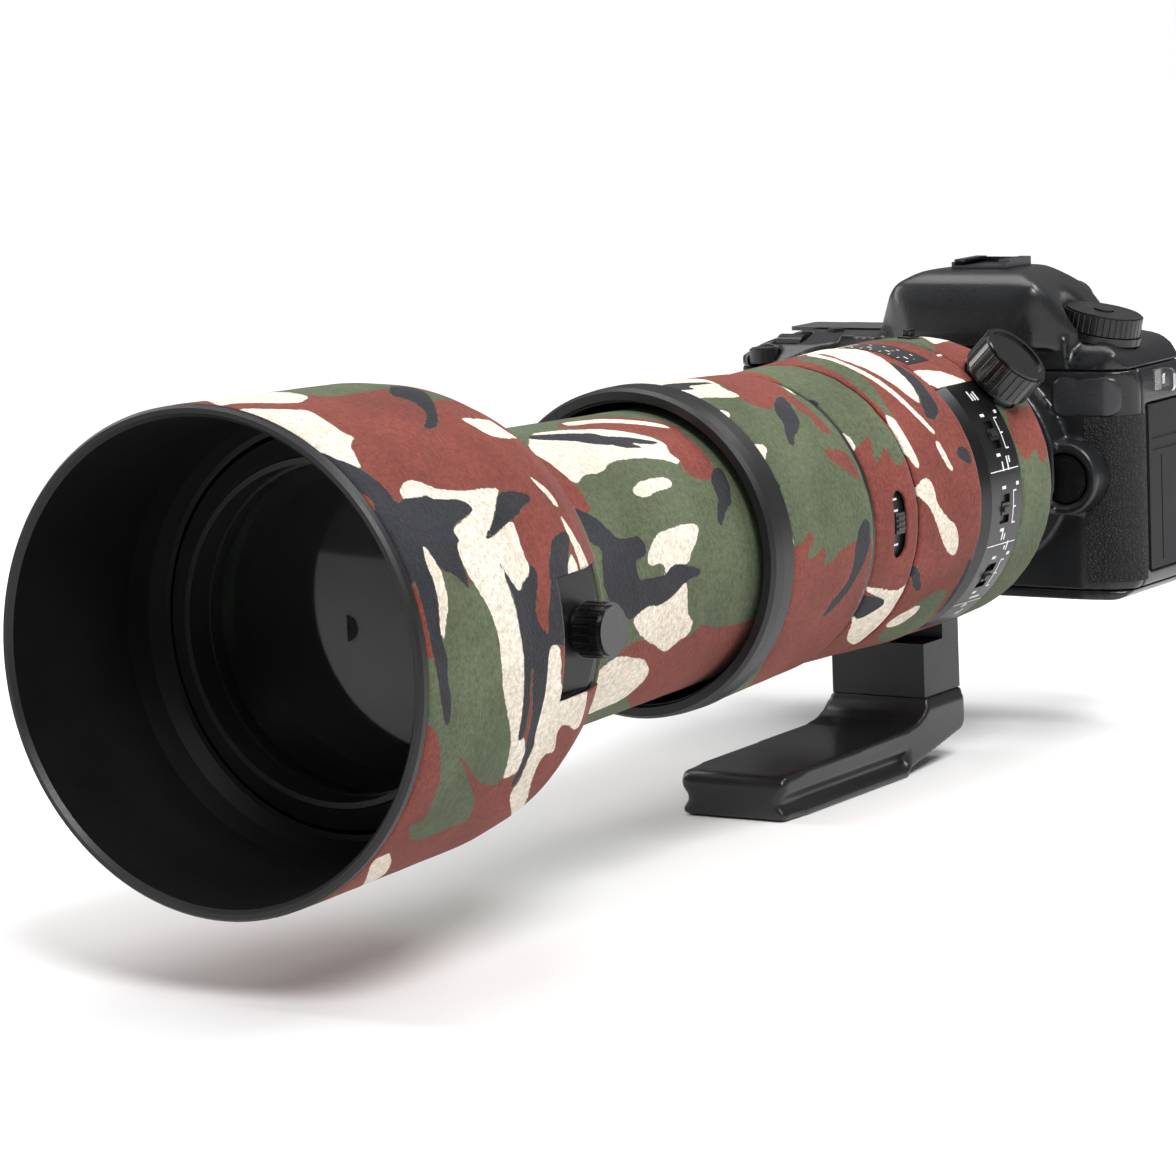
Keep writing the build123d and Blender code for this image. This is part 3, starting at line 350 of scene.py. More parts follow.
def slab(phi0, phi1, y0, y1, r0, r1, n=None):
    """A closed piece of a tube wall, between two angles, as verts and faces."""
    n = n or max(2, int(abs(phi1 - phi0) / 3))
    v, f = [], []
    for i in range(n + 1):
        ph = phi0 + (phi1 - phi0) * i / n
        v += [polar(ph, y0, r0), polar(ph, y1, r0), polar(ph, y1, r1), polar(ph, y0, r1)]
    for i in range(n):
        a, b = 4 * i, 4 * i + 4
        for k in range(4):
            f.append((a + k, a + (k + 1) % 4, b + (k + 1) % 4, b + k))
    f += [(3, 2, 1, 0), (4 * n, 4 * n + 1, 4 * n + 2, 4 * n + 3)]
    return v, f


def prism_from(outline, d):
    """A closed prism: outline is a list of points, d the vector it is drawn along."""
    n = len(outline)
    v = [p for p in outline] + [p + d for p in outline]
    f = [tuple(range(n))[::-1], tuple(range(n, 2 * n))] + [(i, (i + 1) % n, n + (i + 1) % n, n + i) for i in range(n)]
    return v, f


def join(parts):
    v, f = [], []
    for pv, pf in parts:
        o = len(v)
        v += list(pv)
        f += [tuple(i + o for i in q) for q in pf]
    return v, f


def cut(o, parts):
    """Takes closed shapes out of a mesh."""
    for i, (v, f) in enumerate(parts):
        c = make("cutter", v, f, M["barrel"], False)
        bm = bmesh.new()
        bm.from_mesh(c.data)
        bmesh.ops.recalc_face_normals(bm, faces=bm.faces)
        bm.to_mesh(c.data)
        bm.free()
        mod = o.modifiers.new("cut", "BOOLEAN")
        mod.operation, mod.solver, mod.object = "DIFFERENCE", "EXACT", c
        apply_modifiers(o)
        bpy.data.objects.remove(c)
    return o


# ---------------------------------------------------------------- camouflage
# Each patch is a colour (R brown-red, G olive, D charcoal, C cream) and an outline in (angle round the lens in degrees,
# millimetres from the mount plane). Later patches lie over earlier ones.
PATCHES = {
    "hood": [
        ("G", [(99.4, -396.2), (99.5, -376.9), (99.6, -352.4), (99.7, -343.4), (77.3, -352.9), (76, -348.1), (72.9, -346.3), (68.7, -346.4), (70.5, -350.6), (69.1, -358.4), (72.3, -359), (76.7, -356.6), (79.7, -361.8), (78.8, -387.1), (79.9, -393), (83.3, -395.3), (87.4, -396.9), (99.5, -392.5)]),
        ("C", [(99.5, -417.9), (99.5, -409.1), (99.4, -401.4), (99.5, -392.5), (82.9, -395.9), (80.4, -399.2), (77.4, -408.4), (84.4, -425.4), (84.2, -433.7)]),
        ("C", [(80.4, -433.8), (77.5, -426.1), (73, -411.2), (74.7, -413.5), (72.8, -412.1), (69.7, -412.6), (63.4, -414.4), (60.6, -414.3), (59.1, -412), (57.3, -417.4), (55.5, -419.6), (48.8, -424), (51, -426.8), (52.9, -430.6), (56.4, -433.7), (59.4, -436), (61.6, -438.4), (55.1, -436.2), (63.6, -439.2), (72.9, -439.9)]),
        ("C", [(59.8, -360.1), (60.1, -356.7), (59.2, -345), (55.9, -342.3), (54, -334.7), (51.1, -346.8), (52.7, -355.8), (55.6, -357.8), (58.2, -359.5)]),
        ("C", [(41.8, -416), (43.8, -411.7), (43.8, -407.5), (42.9, -404.5), (39.9, -399.2), (38.2, -385), (38.3, -377.9), (37.3, -372.2), (35.4, -376.2), (31.8, -381.1), (29.1, -385.6), (26.1, -391.3), (26.3, -389.2), (27.5, -382.8), (29.2, -375.9), (28.4, -374.9), (24.6, -375.8), (20.5, -376.5), (18.3, -375.4), (15.7, -377.5), (14.9, -380.7), (12.8, -383.2), (14.7, -385.7), (20.6, -389.2), (19.1, -389), (15.8, -388.6), (12.2, -387.9), (7, -387.4), (12.4, -387.1), (6.3, -386.9), (0.9, -386.2), (-4.1, -385), (-7.5, -385.2), (-12.6, -384.3), (-17.2, -383.2), (-21.4, -382.7), (-21.7, -379.3), (-25.5, -376.3), (-28.3, -375.2), (-32.3, -374.9), (-32.5, -379.9), (-32.8, -382.1), (-26.6, -384.2), (-20.7, -386.7), (-13, -392.5), (-7.6, -396), (-1.1, -397), (-2.5, -397), (4.4, -397.4), (9.4, -399.4), (13.8, -401.8), (18.6, -405.1), (16.8, -403.6), (19.4, -405.7), (23.9, -406.4), (26.7, -405.2), (27.2, -403), (30.2, -404.4), (33.4, -389.4), (35.6, -390.7), (36.9, -394.3), (38, -404), (39.1, -409.4), (39.4, -418.2)]),
        ("G", [(21.7, -417.1), (20.4, -413), (18.6, -410.1), (15.6, -407.3), (18.5, -406.3), (15.1, -402.9), (10.7, -399.8), (6.5, -398.6), (0.8, -397.2), (-6.6, -396.3), (-7.6, -396), (-13, -392.5), (-20.7, -386.7), (-26.6, -384.2), (-32.8, -382.1), (-34, -384.2), (-31.8, -392.7), (-28.5, -399.9), (-25.3, -405.1), (-22, -409.4), (-20.6, -413.8), (-25.2, -407.3), (-28.6, -402.9), (-33.6, -395.7), (-37.4, -391.4), (-44.5, -386.9), (-44.2, -397.2), (-45.1, -407.8), (-42.8, -418.1), (-36.4, -425.2), (-36.7, -416.7), (-33, -418.9), (-29.2, -418.8), (-25.4, -419.6), (-13.5, -426.7), (-11, -430.8), (-9.1, -435.2), (-7.9, -437.4), (4.3, -436.1), (4.9, -431.8), (1.8, -429), (5.4, -426.5), (6.3, -424.5), (9.5, -422.4), (13.1, -419.5), (16.5, -417.9), (20.5, -417.8)]),
        ("D", [(61.1, -435.4), (57.2, -432.5), (53.3, -430), (51.2, -426.5), (48.8, -424), (46, -422.6), (43, -421.4), (39.8, -421.4), (38.6, -420.6), (39.7, -416.9), (39.1, -409.4), (39.5, -406.8), (38, -404), (36.9, -394.3), (35.6, -390.7), (33.4, -389.4), (31.3, -400.7), (30.2, -404.4), (27.2, -403), (26.7, -405.2), (23.9, -406.4), (20.3, -406.3), (15.6, -407.3), (18.7, -410), (20.6, -412.9), (21.9, -416.9), (24.4, -418.2), (28.3, -420.1), (24.7, -422.2), (19.4, -422.1), (14.7, -423.3), (9.1, -425.2), (5.9, -424.6), (2.6, -423.2), (-0.8, -424.1), (-7.8, -421.6), (-11, -421.8), (-12.4, -422.7), (-11.4, -424.3), (-4.6, -427.6), (5, -430), (8.9, -430.5), (14.4, -430.5), (19.6, -430.6), (25.3, -431.1), (15.9, -431.2), (23.3, -432.5), (27.1, -433.9), (30.8, -434.2), (35.3, -433.4), (37.8, -433.1), (39, -430.7), (41.7, -430.9), (43.9, -432.1), (46, -433), (49.4, -435.5), (54.7, -436.2)]),
        ("C", [(28.2, -420.8), (27, -419.2), (24.1, -418.5), (21.5, -417.2), (18, -417.7), (16.5, -417.9), (13.1, -419.5), (9.5, -422.4), (6.3, -424.5), (9.1, -425.1), (15.1, -423.1), (18.6, -422.2), (22.3, -422.5), (24.7, -422.3)]),
        ("D", [(36.4, -373.2), (36.3, -368), (34.6, -361.1), (33.1, -360.5), (31.6, -367.2), (30.1, -370.5), (29.2, -375.9), (27.5, -382.8), (26.1, -389.4), (26.1, -391.3), (27.5, -389.8), (29.1, -385.6), (31.8, -381.1), (34.9, -376.7)]),
        ("D", [(20.7, -389.6), (19, -388.2), (14.7, -385.7), (12.8, -383.2), (15.3, -379.5), (16.1, -377.1), (18.5, -375.4), (17, -372.7), (13.8, -373.7), (7.8, -377.8), (5, -377), (1.7, -373.1), (-1.2, -367.2), (-0.9, -372.4), (-6.7, -372.7), (-6, -372.9), (-12.6, -372.9), (-18, -373.6), (-22.3, -373.3), (-25.5, -371.8), (-28.7, -373), (-33.4, -371.7), (-38, -372.1), (-34.7, -375.2), (-31.5, -375), (-25.5, -376.3), (-20.2, -377.6), (-15.2, -378.4), (-9.2, -380.5), (-4.7, -380), (-4.8, -381.5), (-9, -381.6), (-14.8, -380.6), (-18.4, -380), (-21.6, -379.7), (-22.6, -381.2), (-21.4, -383.1), (-14.3, -384.1), (-7.6, -385), (-2.6, -385.6), (-4.1, -385), (3.4, -386.7), (8.3, -387.1), (12.4, -387.1), (15.4, -388.2), (20.6, -389.7)]),
        ("D", [(22.1, -360.9), (23.5, -357.5), (24, -350.5), (22.6, -349.2), (18.8, -353.3), (13, -357.9), (5.4, -358.8), (-2.4, -361.1), (-1.6, -367.2), (-0.1, -372.3), (6.4, -371.5), (14.1, -366.3), (13, -368.3), (18.3, -364.8)]),
        ("C", [(18.9, -351.9), (17.8, -350.9), (14.8, -350.7), (12, -350.2), (10.6, -354.4), (11.9, -358.6), (16.1, -355.8)]),
        ("C", [(39.2, -353.7), (38, -351.5), (35.3, -348.9), (32.3, -347.5), (30, -347.7), (30.5, -349.7), (33, -350.8), (36.3, -352.8)]),
        ("C", [(28.8, -349.4), (26.3, -348.1), (22.6, -346.4), (18.5, -344.2), (14, -342), (9.6, -340.3), (4.9, -341.2), (-10.9, -350.7), (-7.6, -349.2), (-2.4, -349.1), (8.4, -349.3), (14.6, -348.6), (20.6, -349.3), (25.5, -350)]),
        ("C", [(-0.9, -372), (-1.4, -366.4), (-11.5, -365.1), (-12.4, -361.1), (-12.6, -354), (-9.4, -350.5), (-13.4, -347.7), (-21.2, -345), (-26, -344.6), (-25.8, -348.6), (-22.8, -355.1), (-22.1, -360.1), (-24.6, -360.7), (-29.2, -357.4), (-30, -359.2), (-29.2, -362.3), (-30.5, -364.1), (-33.8, -364), (-39.8, -360.5), (-49.5, -349.3), (-70.4, -325.4), (-42.6, -368.3), (-37.6, -371.8), (-36.8, -370.4), (-30.1, -371.8), (-25.5, -371.8), (-22.3, -373.3), (-18, -373.6), (-12.6, -372.9), (-6, -372.9)]),
        ("D", [(82.3, -357.3), (82.1, -347.4), (75.5, -350.7), (67, -361.2), (60.5, -369.7), (58, -375.4), (57.8, -379.5), (59.3, -379.7), (61.2, -374.2), (64.3, -370), (69.1, -367.1), (72.8, -368.4), (74.8, -370.1)]),
        ("C", [(-69.9, -404), (-46.2, -433.5), (-44.4, -424.4), (-59.3, -406.9), (-70, -400.6)]),
    ],
    "neck": [
        ("R", [(85.7, -263.6), (86.1, -240.7), (78.7, -230.2), (69.7, -223.5), (64.9, -220.2), (59, -223.8), (50.1, -223.2), (39.2, -225.2), (34.8, -231.8), (36.3, -237.6), (40.3, -242.1), (44.9, -240.6), (50.3, -241.3), (54.4, -238.6), (61, -238.4), (67.3, -247.5), (73.2, -256.7), (79.5, -271.3)]),
        ("C", [(86.8, -261.2), (83.8, -243.6), (75.2, -232.4), (68.3, -225.2), (63.8, -225), (67.6, -230.5), (73.7, -239.7), (79.2, -249.2), (80.2, -264.1)]),
        ("C", [(79.4, -287), (77, -271.2), (73.2, -256.7), (67.3, -247.5), (62.1, -241.6), (57.1, -238.4), (55, -238.5), (53.4, -239.7), (50.3, -241.3), (46.1, -239.3), (44.7, -242.5), (48.3, -247.9), (50.8, -256.5), (52.2, -268.2), (51.1, -277), (47.6, -283.3), (48.4, -292.7), (44.5, -300.7), (51.4, -303.2), (56.2, -302.2), (60.8, -303.2), (65.3, -304.1)]),
        ("D", [(77.5, -289.4), (73.3, -272.7), (70.3, -262.5), (67, -261), (63.8, -251.8), (59.8, -244.3), (56.4, -238.6), (57.2, -247.2), (60.2, -254.8), (55.6, -250.2), (57.3, -259.3), (60.4, -263.4), (62.8, -271.5), (66.9, -277.2), (73.6, -294.2)]),
        ("R", [(63.8, -303.9), (60.8, -303.2), (55.9, -302.5), (51.3, -302.3), (44.5, -300.7), (38.9, -301.7), (32.5, -302.7), (33.8, -308.1), (36.4, -312.5), (41.7, -315.4), (40.8, -339.5), (44.9, -340.7)]),
        ("D", [(36.9, -311.9), (32.4, -303.9), (27.5, -300), (21.3, -296.2), (20.4, -289), (20.8, -284.4), (17.1, -281.9), (13, -283), (12.3, -289.3), (9.9, -290.1), (4.9, -289.1), (4.6, -283.6), (3.9, -275.9), (7.1, -269.6), (6.5, -264.1), (2.8, -253.3), (0.7, -254), (-0.1, -261.6), (-5, -269.5), (-6.6, -278.4), (-5.5, -284.1), (-8.9, -293.6), (-6.3, -299.4), (-2.2, -302.8), (0.6, -307), (6.4, -309.4), (15.1, -307.8), (18.9, -305.5), (23.5, -312.1), (30.2, -311.9)]),
        ("C", [(12.2, -282.7), (16.5, -278.8), (19.9, -272.7), (20.6, -258.8), (19.9, -251.1), (17.6, -249.8), (13, -253.6), (10, -257.5), (5.8, -260.3), (6.5, -264.1), (7.1, -269.6), (3.5, -275.9), (7.1, -273.6), (8.9, -275.9), (8.7, -282.7)]),
        ("C", [(37.1, -275.8), (39.3, -273.3), (40.8, -267.5), (40.9, -257.4), (39.5, -252.5), (36.3, -253.3), (35.3, -257.8), (35.2, -264.6), (33.6, -270.3), (35, -274.7)]),
        ("C", [(-8.8, -294.2), (-5.2, -285.2), (-6.6, -278.4), (-4.8, -270.7), (0, -262.1), (-5.9, -261.5), (-13.5, -260.2), (-17.6, -255.4), (-22.2, -255.8), (-24, -261.8), (-27.7, -267.8), (-22.2, -276.2), (-17, -286.1)]),
        ("D", [(39.4, -226.2), (39.5, -221.5), (31.5, -222.8), (24.6, -226), (21.5, -231.7), (16, -236.8), (17.2, -238.5), (23, -236.1), (27.3, -232.8), (33.1, -232), (35.6, -231)]),
        ("R", [(-22, -300.6), (-18.9, -294.2), (-17.4, -286), (-22.2, -276.2), (-27.7, -267.8), (-24, -261.8), (-22.7, -254.4), (-19.4, -249), (-23.1, -241.5), (-25.8, -223), (-24.9, -212.3), (-70.6, -181.3), (-71.5, -246.1), (-37.1, -287), (-30.4, -276.2)]),
        ("C", [(-28.9, -311.4), (-24, -305.4), (-21.5, -297.1), (-24.2, -289.4), (-26.8, -279.9), (-36.3, -270.4), (-48, -275.9), (-49.4, -286.6), (-50.9, -295.8), (-44, -300.3), (-40.7, -299.1), (-36.6, -305.9)]),
    ],
    "zoom": [
        ("R", [(100.9, -216.7), (100.8, -185.9), (100.8, -151.1), (101, -134.4), (100.9, -147.2), (101.1, -135.6), (86.6, -144.3), (72.7, -154.8), (62, -158.9), (53.6, -158.8), (45.2, -159), (39, -158.2), (41.1, -163.8), (44.9, -164.5), (49.7, -162.5), (51.8, -166.2), (56.8, -164.7), (60.9, -165.4), (60.2, -170.1), (54.8, -179.9), (57.5, -186.2), (64.1, -190.3), (65.8, -186.7), (73.6, -183.8), (82.8, -178.6), (86.6, -180), (100.9, -182.3), (100.8, -204.6)]),
        ("C", [(100.8, -201), (100.8, -174.6), (100.9, -151.5), (101.1, -136.3), (91, -150.7), (101, -163.4), (100.9, -186.4)]),
        ("C", [(97.1, -214.2), (101, -180.9), (86.2, -178.9), (77.3, -182.7), (72.2, -186.6), (65.7, -185.7), (64.5, -189.3), (66.9, -201.4), (67.8, -212.8), (77.2, -216.4), (84, -222)]),
        ("D", [(83.1, -217.8), (84.4, -198.9), (81, -184.2), (78.4, -183.4), (78.7, -200.5), (74, -199.3), (76.9, -215.7)]),
        ("C", [(59.7, -214.7), (58.4, -205.5), (55.6, -205.5), (53.1, -211.3), (54.5, -214.7), (58, -215.3)]),
        ("C", [(41.1, -216.6), (41.3, -210.1), (40.4, -203.8), (38.3, -203.3), (33.6, -209.5), (28.7, -212.8), (28.2, -215.4), (34.7, -216.7)]),
        ("C", [(12, -215.1), (9.7, -210.6), (5.6, -207.8), (2.8, -208.6), (1.8, -213.5), (6.1, -215.1)]),
        ("C", [(75.4, -151.4), (75, -144), (71.5, -145.8), (64.9, -153.3), (60.2, -156.4), (67, -155.6)]),
        ("D", [(61.4, -168.5), (62.4, -164.5), (59.4, -164.7), (52.7, -168.8), (46.9, -172.1), (43.7, -176.6), (41.6, -182.1), (37, -187.4), (39, -188.7), (43.1, -186.4), (47.2, -182.1), (54.2, -179.7), (58.2, -174.3)]),
        ("D", [(28, -215.5), (28.1, -211.9), (26, -207.4), (23.7, -207.1), (22.4, -211.3), (23.2, -214.3), (25.7, -215.5)]),
        ("R", [(33.8, -172), (33.9, -167.3), (31.8, -157.4), (27.6, -157.1), (21.6, -155.6), (19.8, -158.8), (23.6, -161.6), (28.3, -168.5)]),
        ("R", [(2.2, -215.8), (2.8, -208.6), (3.5, -202.1), (6.6, -198.6), (6.3, -194.8), (2.5, -195.8), (-2.9, -201.6), (-2.4, -194.8), (0.3, -189.3), (-1.6, -186.7), (-7, -189.3), (-6.4, -182.8), (-2.6, -176.4), (-1.3, -165.7), (0.4, -156.1), (-7.1, -154.5), (-18.4, -153.7), (-22.7, -155.4), (-41.7, -146.5), (-71.3, -120.5), (-70.7, -149.4), (-71.2, -187.8), (-29.3, -215.5), (-17.8, -211.5)]),
        ("D", [(6.2, -159.3), (3.2, -155.8), (-3.9, -156.4), (-8.6, -158), (-13.1, -161.2), (-19, -165.5), (-24.6, -171.6), (-28.5, -178.2), (-27.4, -180.8), (-21.3, -176.3), (-16.7, -169.2), (-10.6, -167.3), (-2.2, -166.4), (2.3, -164.1)]),
        ("C", [(-52.5, -137.2), (-30.4, -154.1), (-21.2, -154.9), (-26.2, -146.5), (-37, -145.9), (-43.8, -131.5), (-71.6, -110.1), (-71.4, -125)]),
    ],
    "band": [
        ("G", [(100.9, -137.3), (100.9, -110.1), (101.1, -95.8), (74.9, -117), (54.1, -124.2), (38.8, -125.3), (28, -122.3), (20.8, -127.1), (22.8, -132.1), (28, -132), (30.7, -132.8), (23.5, -141.1), (28, -141.5), (32.5, -139), (36.6, -137.8), (34.1, -143), (31.7, -149.3), (35.3, -149.2), (42, -153.7), (56.8, -153.8), (66.5, -151.9), (88, -142.3)]),
        ("C", [(42.5, -154.5), (39.1, -149.4), (35.2, -148.1), (31.8, -148.9), (30.1, -153.6), (34.9, -154.4), (38.7, -155.6)]),
        ("D", [(59.8, -151.7), (57.5, -148.1), (54.7, -148.1), (54.2, -152.1), (56.6, -153.4)]),
        ("C", [(-22.1, -155.3), (-23.3, -147.4), (-28.2, -130.1), (-26.6, -125.2), (-25.1, -121.6), (-26.6, -114.6), (-30.4, -113.5), (-37, -115.7), (-42.6, -122.5), (-71.6, -95.5), (-53.1, -140.7), (-33.8, -152), (-28.2, -153.9), (-28.9, -142.6), (-32, -133.2)]),
        ("D", [(-27.6, -154.2), (-26.2, -150.1), (-30.8, -134.1), (-34.6, -133.4), (-39, -146.2), (-33.8, -152.3)]),
    ],
    "focus": [
        ("C", [(100.6, -107.6), (100.7, -92.9), (100.9, -81.3), (92.5, -76.3), (83.7, -82.3), (72.9, -85.1), (62.6, -89.5), (53.1, -91.8), (45.5, -95.3), (43.1, -98), (47.7, -99.8), (57.3, -101.2), (67.6, -102.1), (77.4, -102.7), (91.4, -96.4), (100.9, -96.7), (100.8, -108.3)]),
        ("G", [(99.3, -99.7), (85.4, -105.6), (73.6, -108.3), (61.7, -110.2), (55.6, -112.3), (46.2, -116.3), (39.1, -117.6), (41.4, -119.9), (47.5, -120.6), (60.1, -119.7), (72.6, -117.1), (78.4, -116), (89.9, -113.8)]),
        ("C", [(101, -90.9), (89, -100.1), (75.9, -104.8), (65.5, -105), (54.6, -104.8), (42.9, -103.7), (34.9, -101.4), (30, -99.4), (29.6, -101.5), (36.1, -104.6), (46.6, -107), (57.8, -108.1), (68.2, -108.6), (79.6, -106.8), (93.2, -102.7)]),
        ("C", [(28.4, -101.9), (25.3, -100.3), (19.6, -99.1), (14.6, -97.2), (14.3, -99.8), (19.7, -102.3), (24.6, -103.2)]),
        ("D", [(68, -86.7), (64.4, -85.5), (55.9, -85.1), (48.3, -87.2), (41.4, -88.6), (37.3, -91), (34.9, -96.5), (36.6, -99.7), (41.7, -97.6), (45.9, -94.4), (52.9, -92.1), (61.4, -89.7)]),
        ("C", [(43, -120.7), (40.4, -117.7), (34.1, -117.9), (27.1, -117.6), (19.5, -116.7), (18.4, -119), (21.9, -121.4), (29.8, -123.1), (37.1, -122.9)]),
        ("C", [(11.2, -123.2), (14.4, -118), (14.4, -113.9), (9.9, -111.9), (3.8, -111.9), (-2.4, -105.1), (-6.8, -98.9), (-12.5, -96.5), (-18.7, -95.7), (-17.4, -101), (-11.7, -107.3), (-2.1, -113), (3.7, -116.7), (7.8, -121.6)]),
        ("D", [(21.9, -92.4), (22.6, -87.2), (19.7, -84.2), (14.4, -85.4), (16.7, -89), (18.6, -92.8)]),
        ("D", [(33.8, -83), (33.3, -77), (26.6, -74.9), (19.5, -76.4), (24.1, -80), (28.7, -82)]),
        ("G", [(-57.4, -114.9), (-45.3, -115.5), (-37, -108.7), (-32.7, -95.2), (-36.1, -89.3), (-47.4, -87.9), (-60.6, -80.7), (-71.2, -90.4)]),
        ("D", [(-19.3, -125.4), (-18.6, -120.4), (-31.7, -110.8), (-30, -117.1)]),
        ("D", [(-20.4, -86.7), (-28.3, -85.7), (-38.9, -86.8), (-51.3, -83.4), (-71.4, -66.3), (-70.6, -55), (-71.5, -25.6), (-32, -71.7)]),
        ("C", [(-47.7, -119.5), (-43.3, -117.5), (-38.5, -105.5), (-43.2, -102.5), (-50.2, -107.2), (-50.6, -114.2)]),
    ],
    "panel": [
        ("C", [(60.3, -83.4), (56.7, -67.8), (50.1, -60.6), (43.1, -56.3), (35.6, -52.4), (30.8, -52), (32.8, -55), (38.4, -56.7), (42.7, -63.3), (42.5, -73.2), (44.5, -76.4), (51.2, -81.6)]),
        ("R", [(69.6, -65), (62, -60.3), (51.6, -55.5), (44.5, -51.5), (34.1, -49.7), (43.9, -55.4), (52.1, -61.3), (58.1, -69.1), (61, -74.4)]),
    ],
    "collar": [
        ("R", [(78.9, -41), (76.2, -31.7), (70.5, -27.3), (63.8, -29.3), (60.9, -38.5), (54.8, -45.4), (46.8, -46.9), (35.9, -47.9), (40, -53.7), (47, -53.5), (59.2, -58.3), (65.9, -54.8)]),
        ("C", [(100.8, -50), (100.8, -34), (100.9, -18.1), (90.6, -15.3), (76, -23.8), (76.5, -31.2), (74, -44.5), (78.9, -40.7), (89.5, -30.3), (101, -29.7)]),
        ("R", [(32.4, -49.4), (31.9, -34.1), (32.5, -26.7), (25.3, -28.3), (13.9, -28.8), (11.2, -29.1), (7.7, -37.1), (15.2, -37.1), (12.3, -44.1), (11.4, -49.3), (16.9, -51.9), (25.3, -51.8)]),
        ("R", [(-71.4, -33.3), (-71.5, -18.5), (-66.8, -6.1), (-71.3, -7), (-71.2, -25.6), (-71, -37.4)]),
        ("C", [(-71.3, -32.7), (-71.4, -25.3), (-71.3, -22.3), (-71.2, -29.1)]),
    ],
}
BASE = {"hood": "R", "neck": "G", "zoom": "G", "band": "R", "focus": "R", "panel": "R", "collar": "G"}
FIELDS = {"R": 0, "D": 1, "C": 2, "G": 3}


def chaikin(p, rounds=2):
    p = np.asarray(p, float)
    for _ in range(rounds):
        q = np.roll(p, -1, 0)
        p = np.stack([p * 0.8 + q * 0.2, p * 0.2 + q * 0.8], 1).reshape(-1, 2)
    return p


def blob(rng, cx, cy, a, b, tilt):
    """An irregular patch with lobes and a few pointed ends, in millimetres."""
    n = int(rng.integers(9, 13))
    t = np.sort(rng.uniform(0, 2 * np.pi, n) * 0.35 + np.linspace(0, 2 * np.pi, n, endpoint=False) * 0.65 + 0.0)
    t = np.linspace(0, 2 * np.pi, n, endpoint=False) + rng.uniform(-0.15, 0.15, n)
    r = rng.uniform(0.62, 1.12, n)
    r[::3] *= rng.uniform(0.55, 0.9)
    x, y = a * r * np.cos(t), b * r * np.sin(t)
    c, s = math.cos(tilt), math.sin(tilt)
    return np.stack([cx + c * x - s * y, cy + s * x + c * y], -1)


def hidden_patches(seed, phi0, phi1, y0, y1, radius):
    """Seeded patches for the side that carries on round the back, in the same hand as the drawn ones."""
    rng = np.random.default_rng(seed)
    area = math.radians(phi1 - phi0) * radius * (y1 - y0)
    out = []
    for colour, share, size in (("G", 0.34, 25), ("R", 0.26, 21), ("C", 0.24, 14.5), ("D", 0.2, 13), ("C", 0.04, 6), ("D", 0.04, 6)):
        for _ in range(max(2, int(area * share / (math.pi * size * size * 0.62)))):
            a, b = size * rng.uniform(0.9, 1.7), size * rng.uniform(0.4, 0.8)
            cx = math.radians(rng.uniform(phi0, phi1)) * radius
            cy = rng.uniform(y0, y1)
            out.append((colour, blob(rng, cx, cy, a, b, rng.uniform(-1.2, 1.2))))
    return out


def inside_distance(u, v, poly):
    """Signed distance to a closed outline, positive inside, in millimetres."""
    best = np.full(u.shape, 1e9)
    odd = np.zeros(u.shape, bool)
    n = len(poly)
    for i in range(n):
        (x0, y0), (x1, y1) = poly[i], poly[(i + 1) % n]
        dx, dy = x1 - x0, y1 - y0
        t = np.clip(((u - x0) * dx + (v - y0) * dy) / max(dx * dx + dy * dy, 1e-9), 0, 1)
        best = np.minimum(best, (u - x0 - t * dx) ** 2 + (v - y0 - t * dy) ** 2)
        crosses = (y0 > v) != (y1 > v)
        with np.errstate(divide="ignore", invalid="ignore"):
            odd ^= crosses & (u < x0 + (v - y0) * dx / (dy if abs(dy) > 1e-12 else 1e-12))
    d = np.sqrt(best)
    return np.where(odd, d, -d)


def camo_fields(phi, ym, region, seed, radius, y0, y1):
    """The four colour fields at points given by angle and place along the lens."""
    far = 4.0
    F = np.full((4, len(phi)), -far)
    F[FIELDS[BASE[region]]] = far
    jobs = [(c, p, 195.0, radius) for c, p in hidden_patches(seed, 118, 272, y0, y1, radius)]
    for c, pts in PATCHES[region]:
        q = np.array(pts, float)
        q[:, 0] = np.radians(q[:, 0]) * radius
        jobs.append((c, q, 15.0, radius))
    for c, poly, mid, rad in jobs:
        poly = chaikin(poly)
        wrapped = np.radians((phi - mid + 180) % 360 - 180 + mid) * rad
        lo, hi = poly.min(0) - far, poly.max(0) + far
        near = (wrapped > lo[0]) & (wrapped < hi[0]) & (ym > lo[1]) & (ym < hi[1])
        if not near.any():
            continue
        d = np.full(len(phi), -far)
        d[near] = np.clip(inside_distance(wrapped[near], ym[near], poly), -far, far)
        k = FIELDS[c]
        for j in range(4):
            F[j] = np.maximum(F[j], d) if j == k else np.minimum(F[j], -d)
    return F


def smooth_profile(points, step):
    p = np.array(points, float)
    seg = np.hypot(*np.diff(p, axis=0).T)
    s = np.concatenate([[0], np.cumsum(seg)])
    n = max(8, int(s[-1] / step))
    t = np.linspace(0, s[-1], n + 1)
    y, r = np.interp(t, s, p[:, 0]), np.interp(t, s, p[:, 1])
    k = max(1, int(1.6 / step))
    for a in (y, r):
        b = a.copy()
        for i in range(k, n + 1 - k):
            b[i] = a[i - k : i + k + 1].mean()
        a[:] = b
    return y, r, t


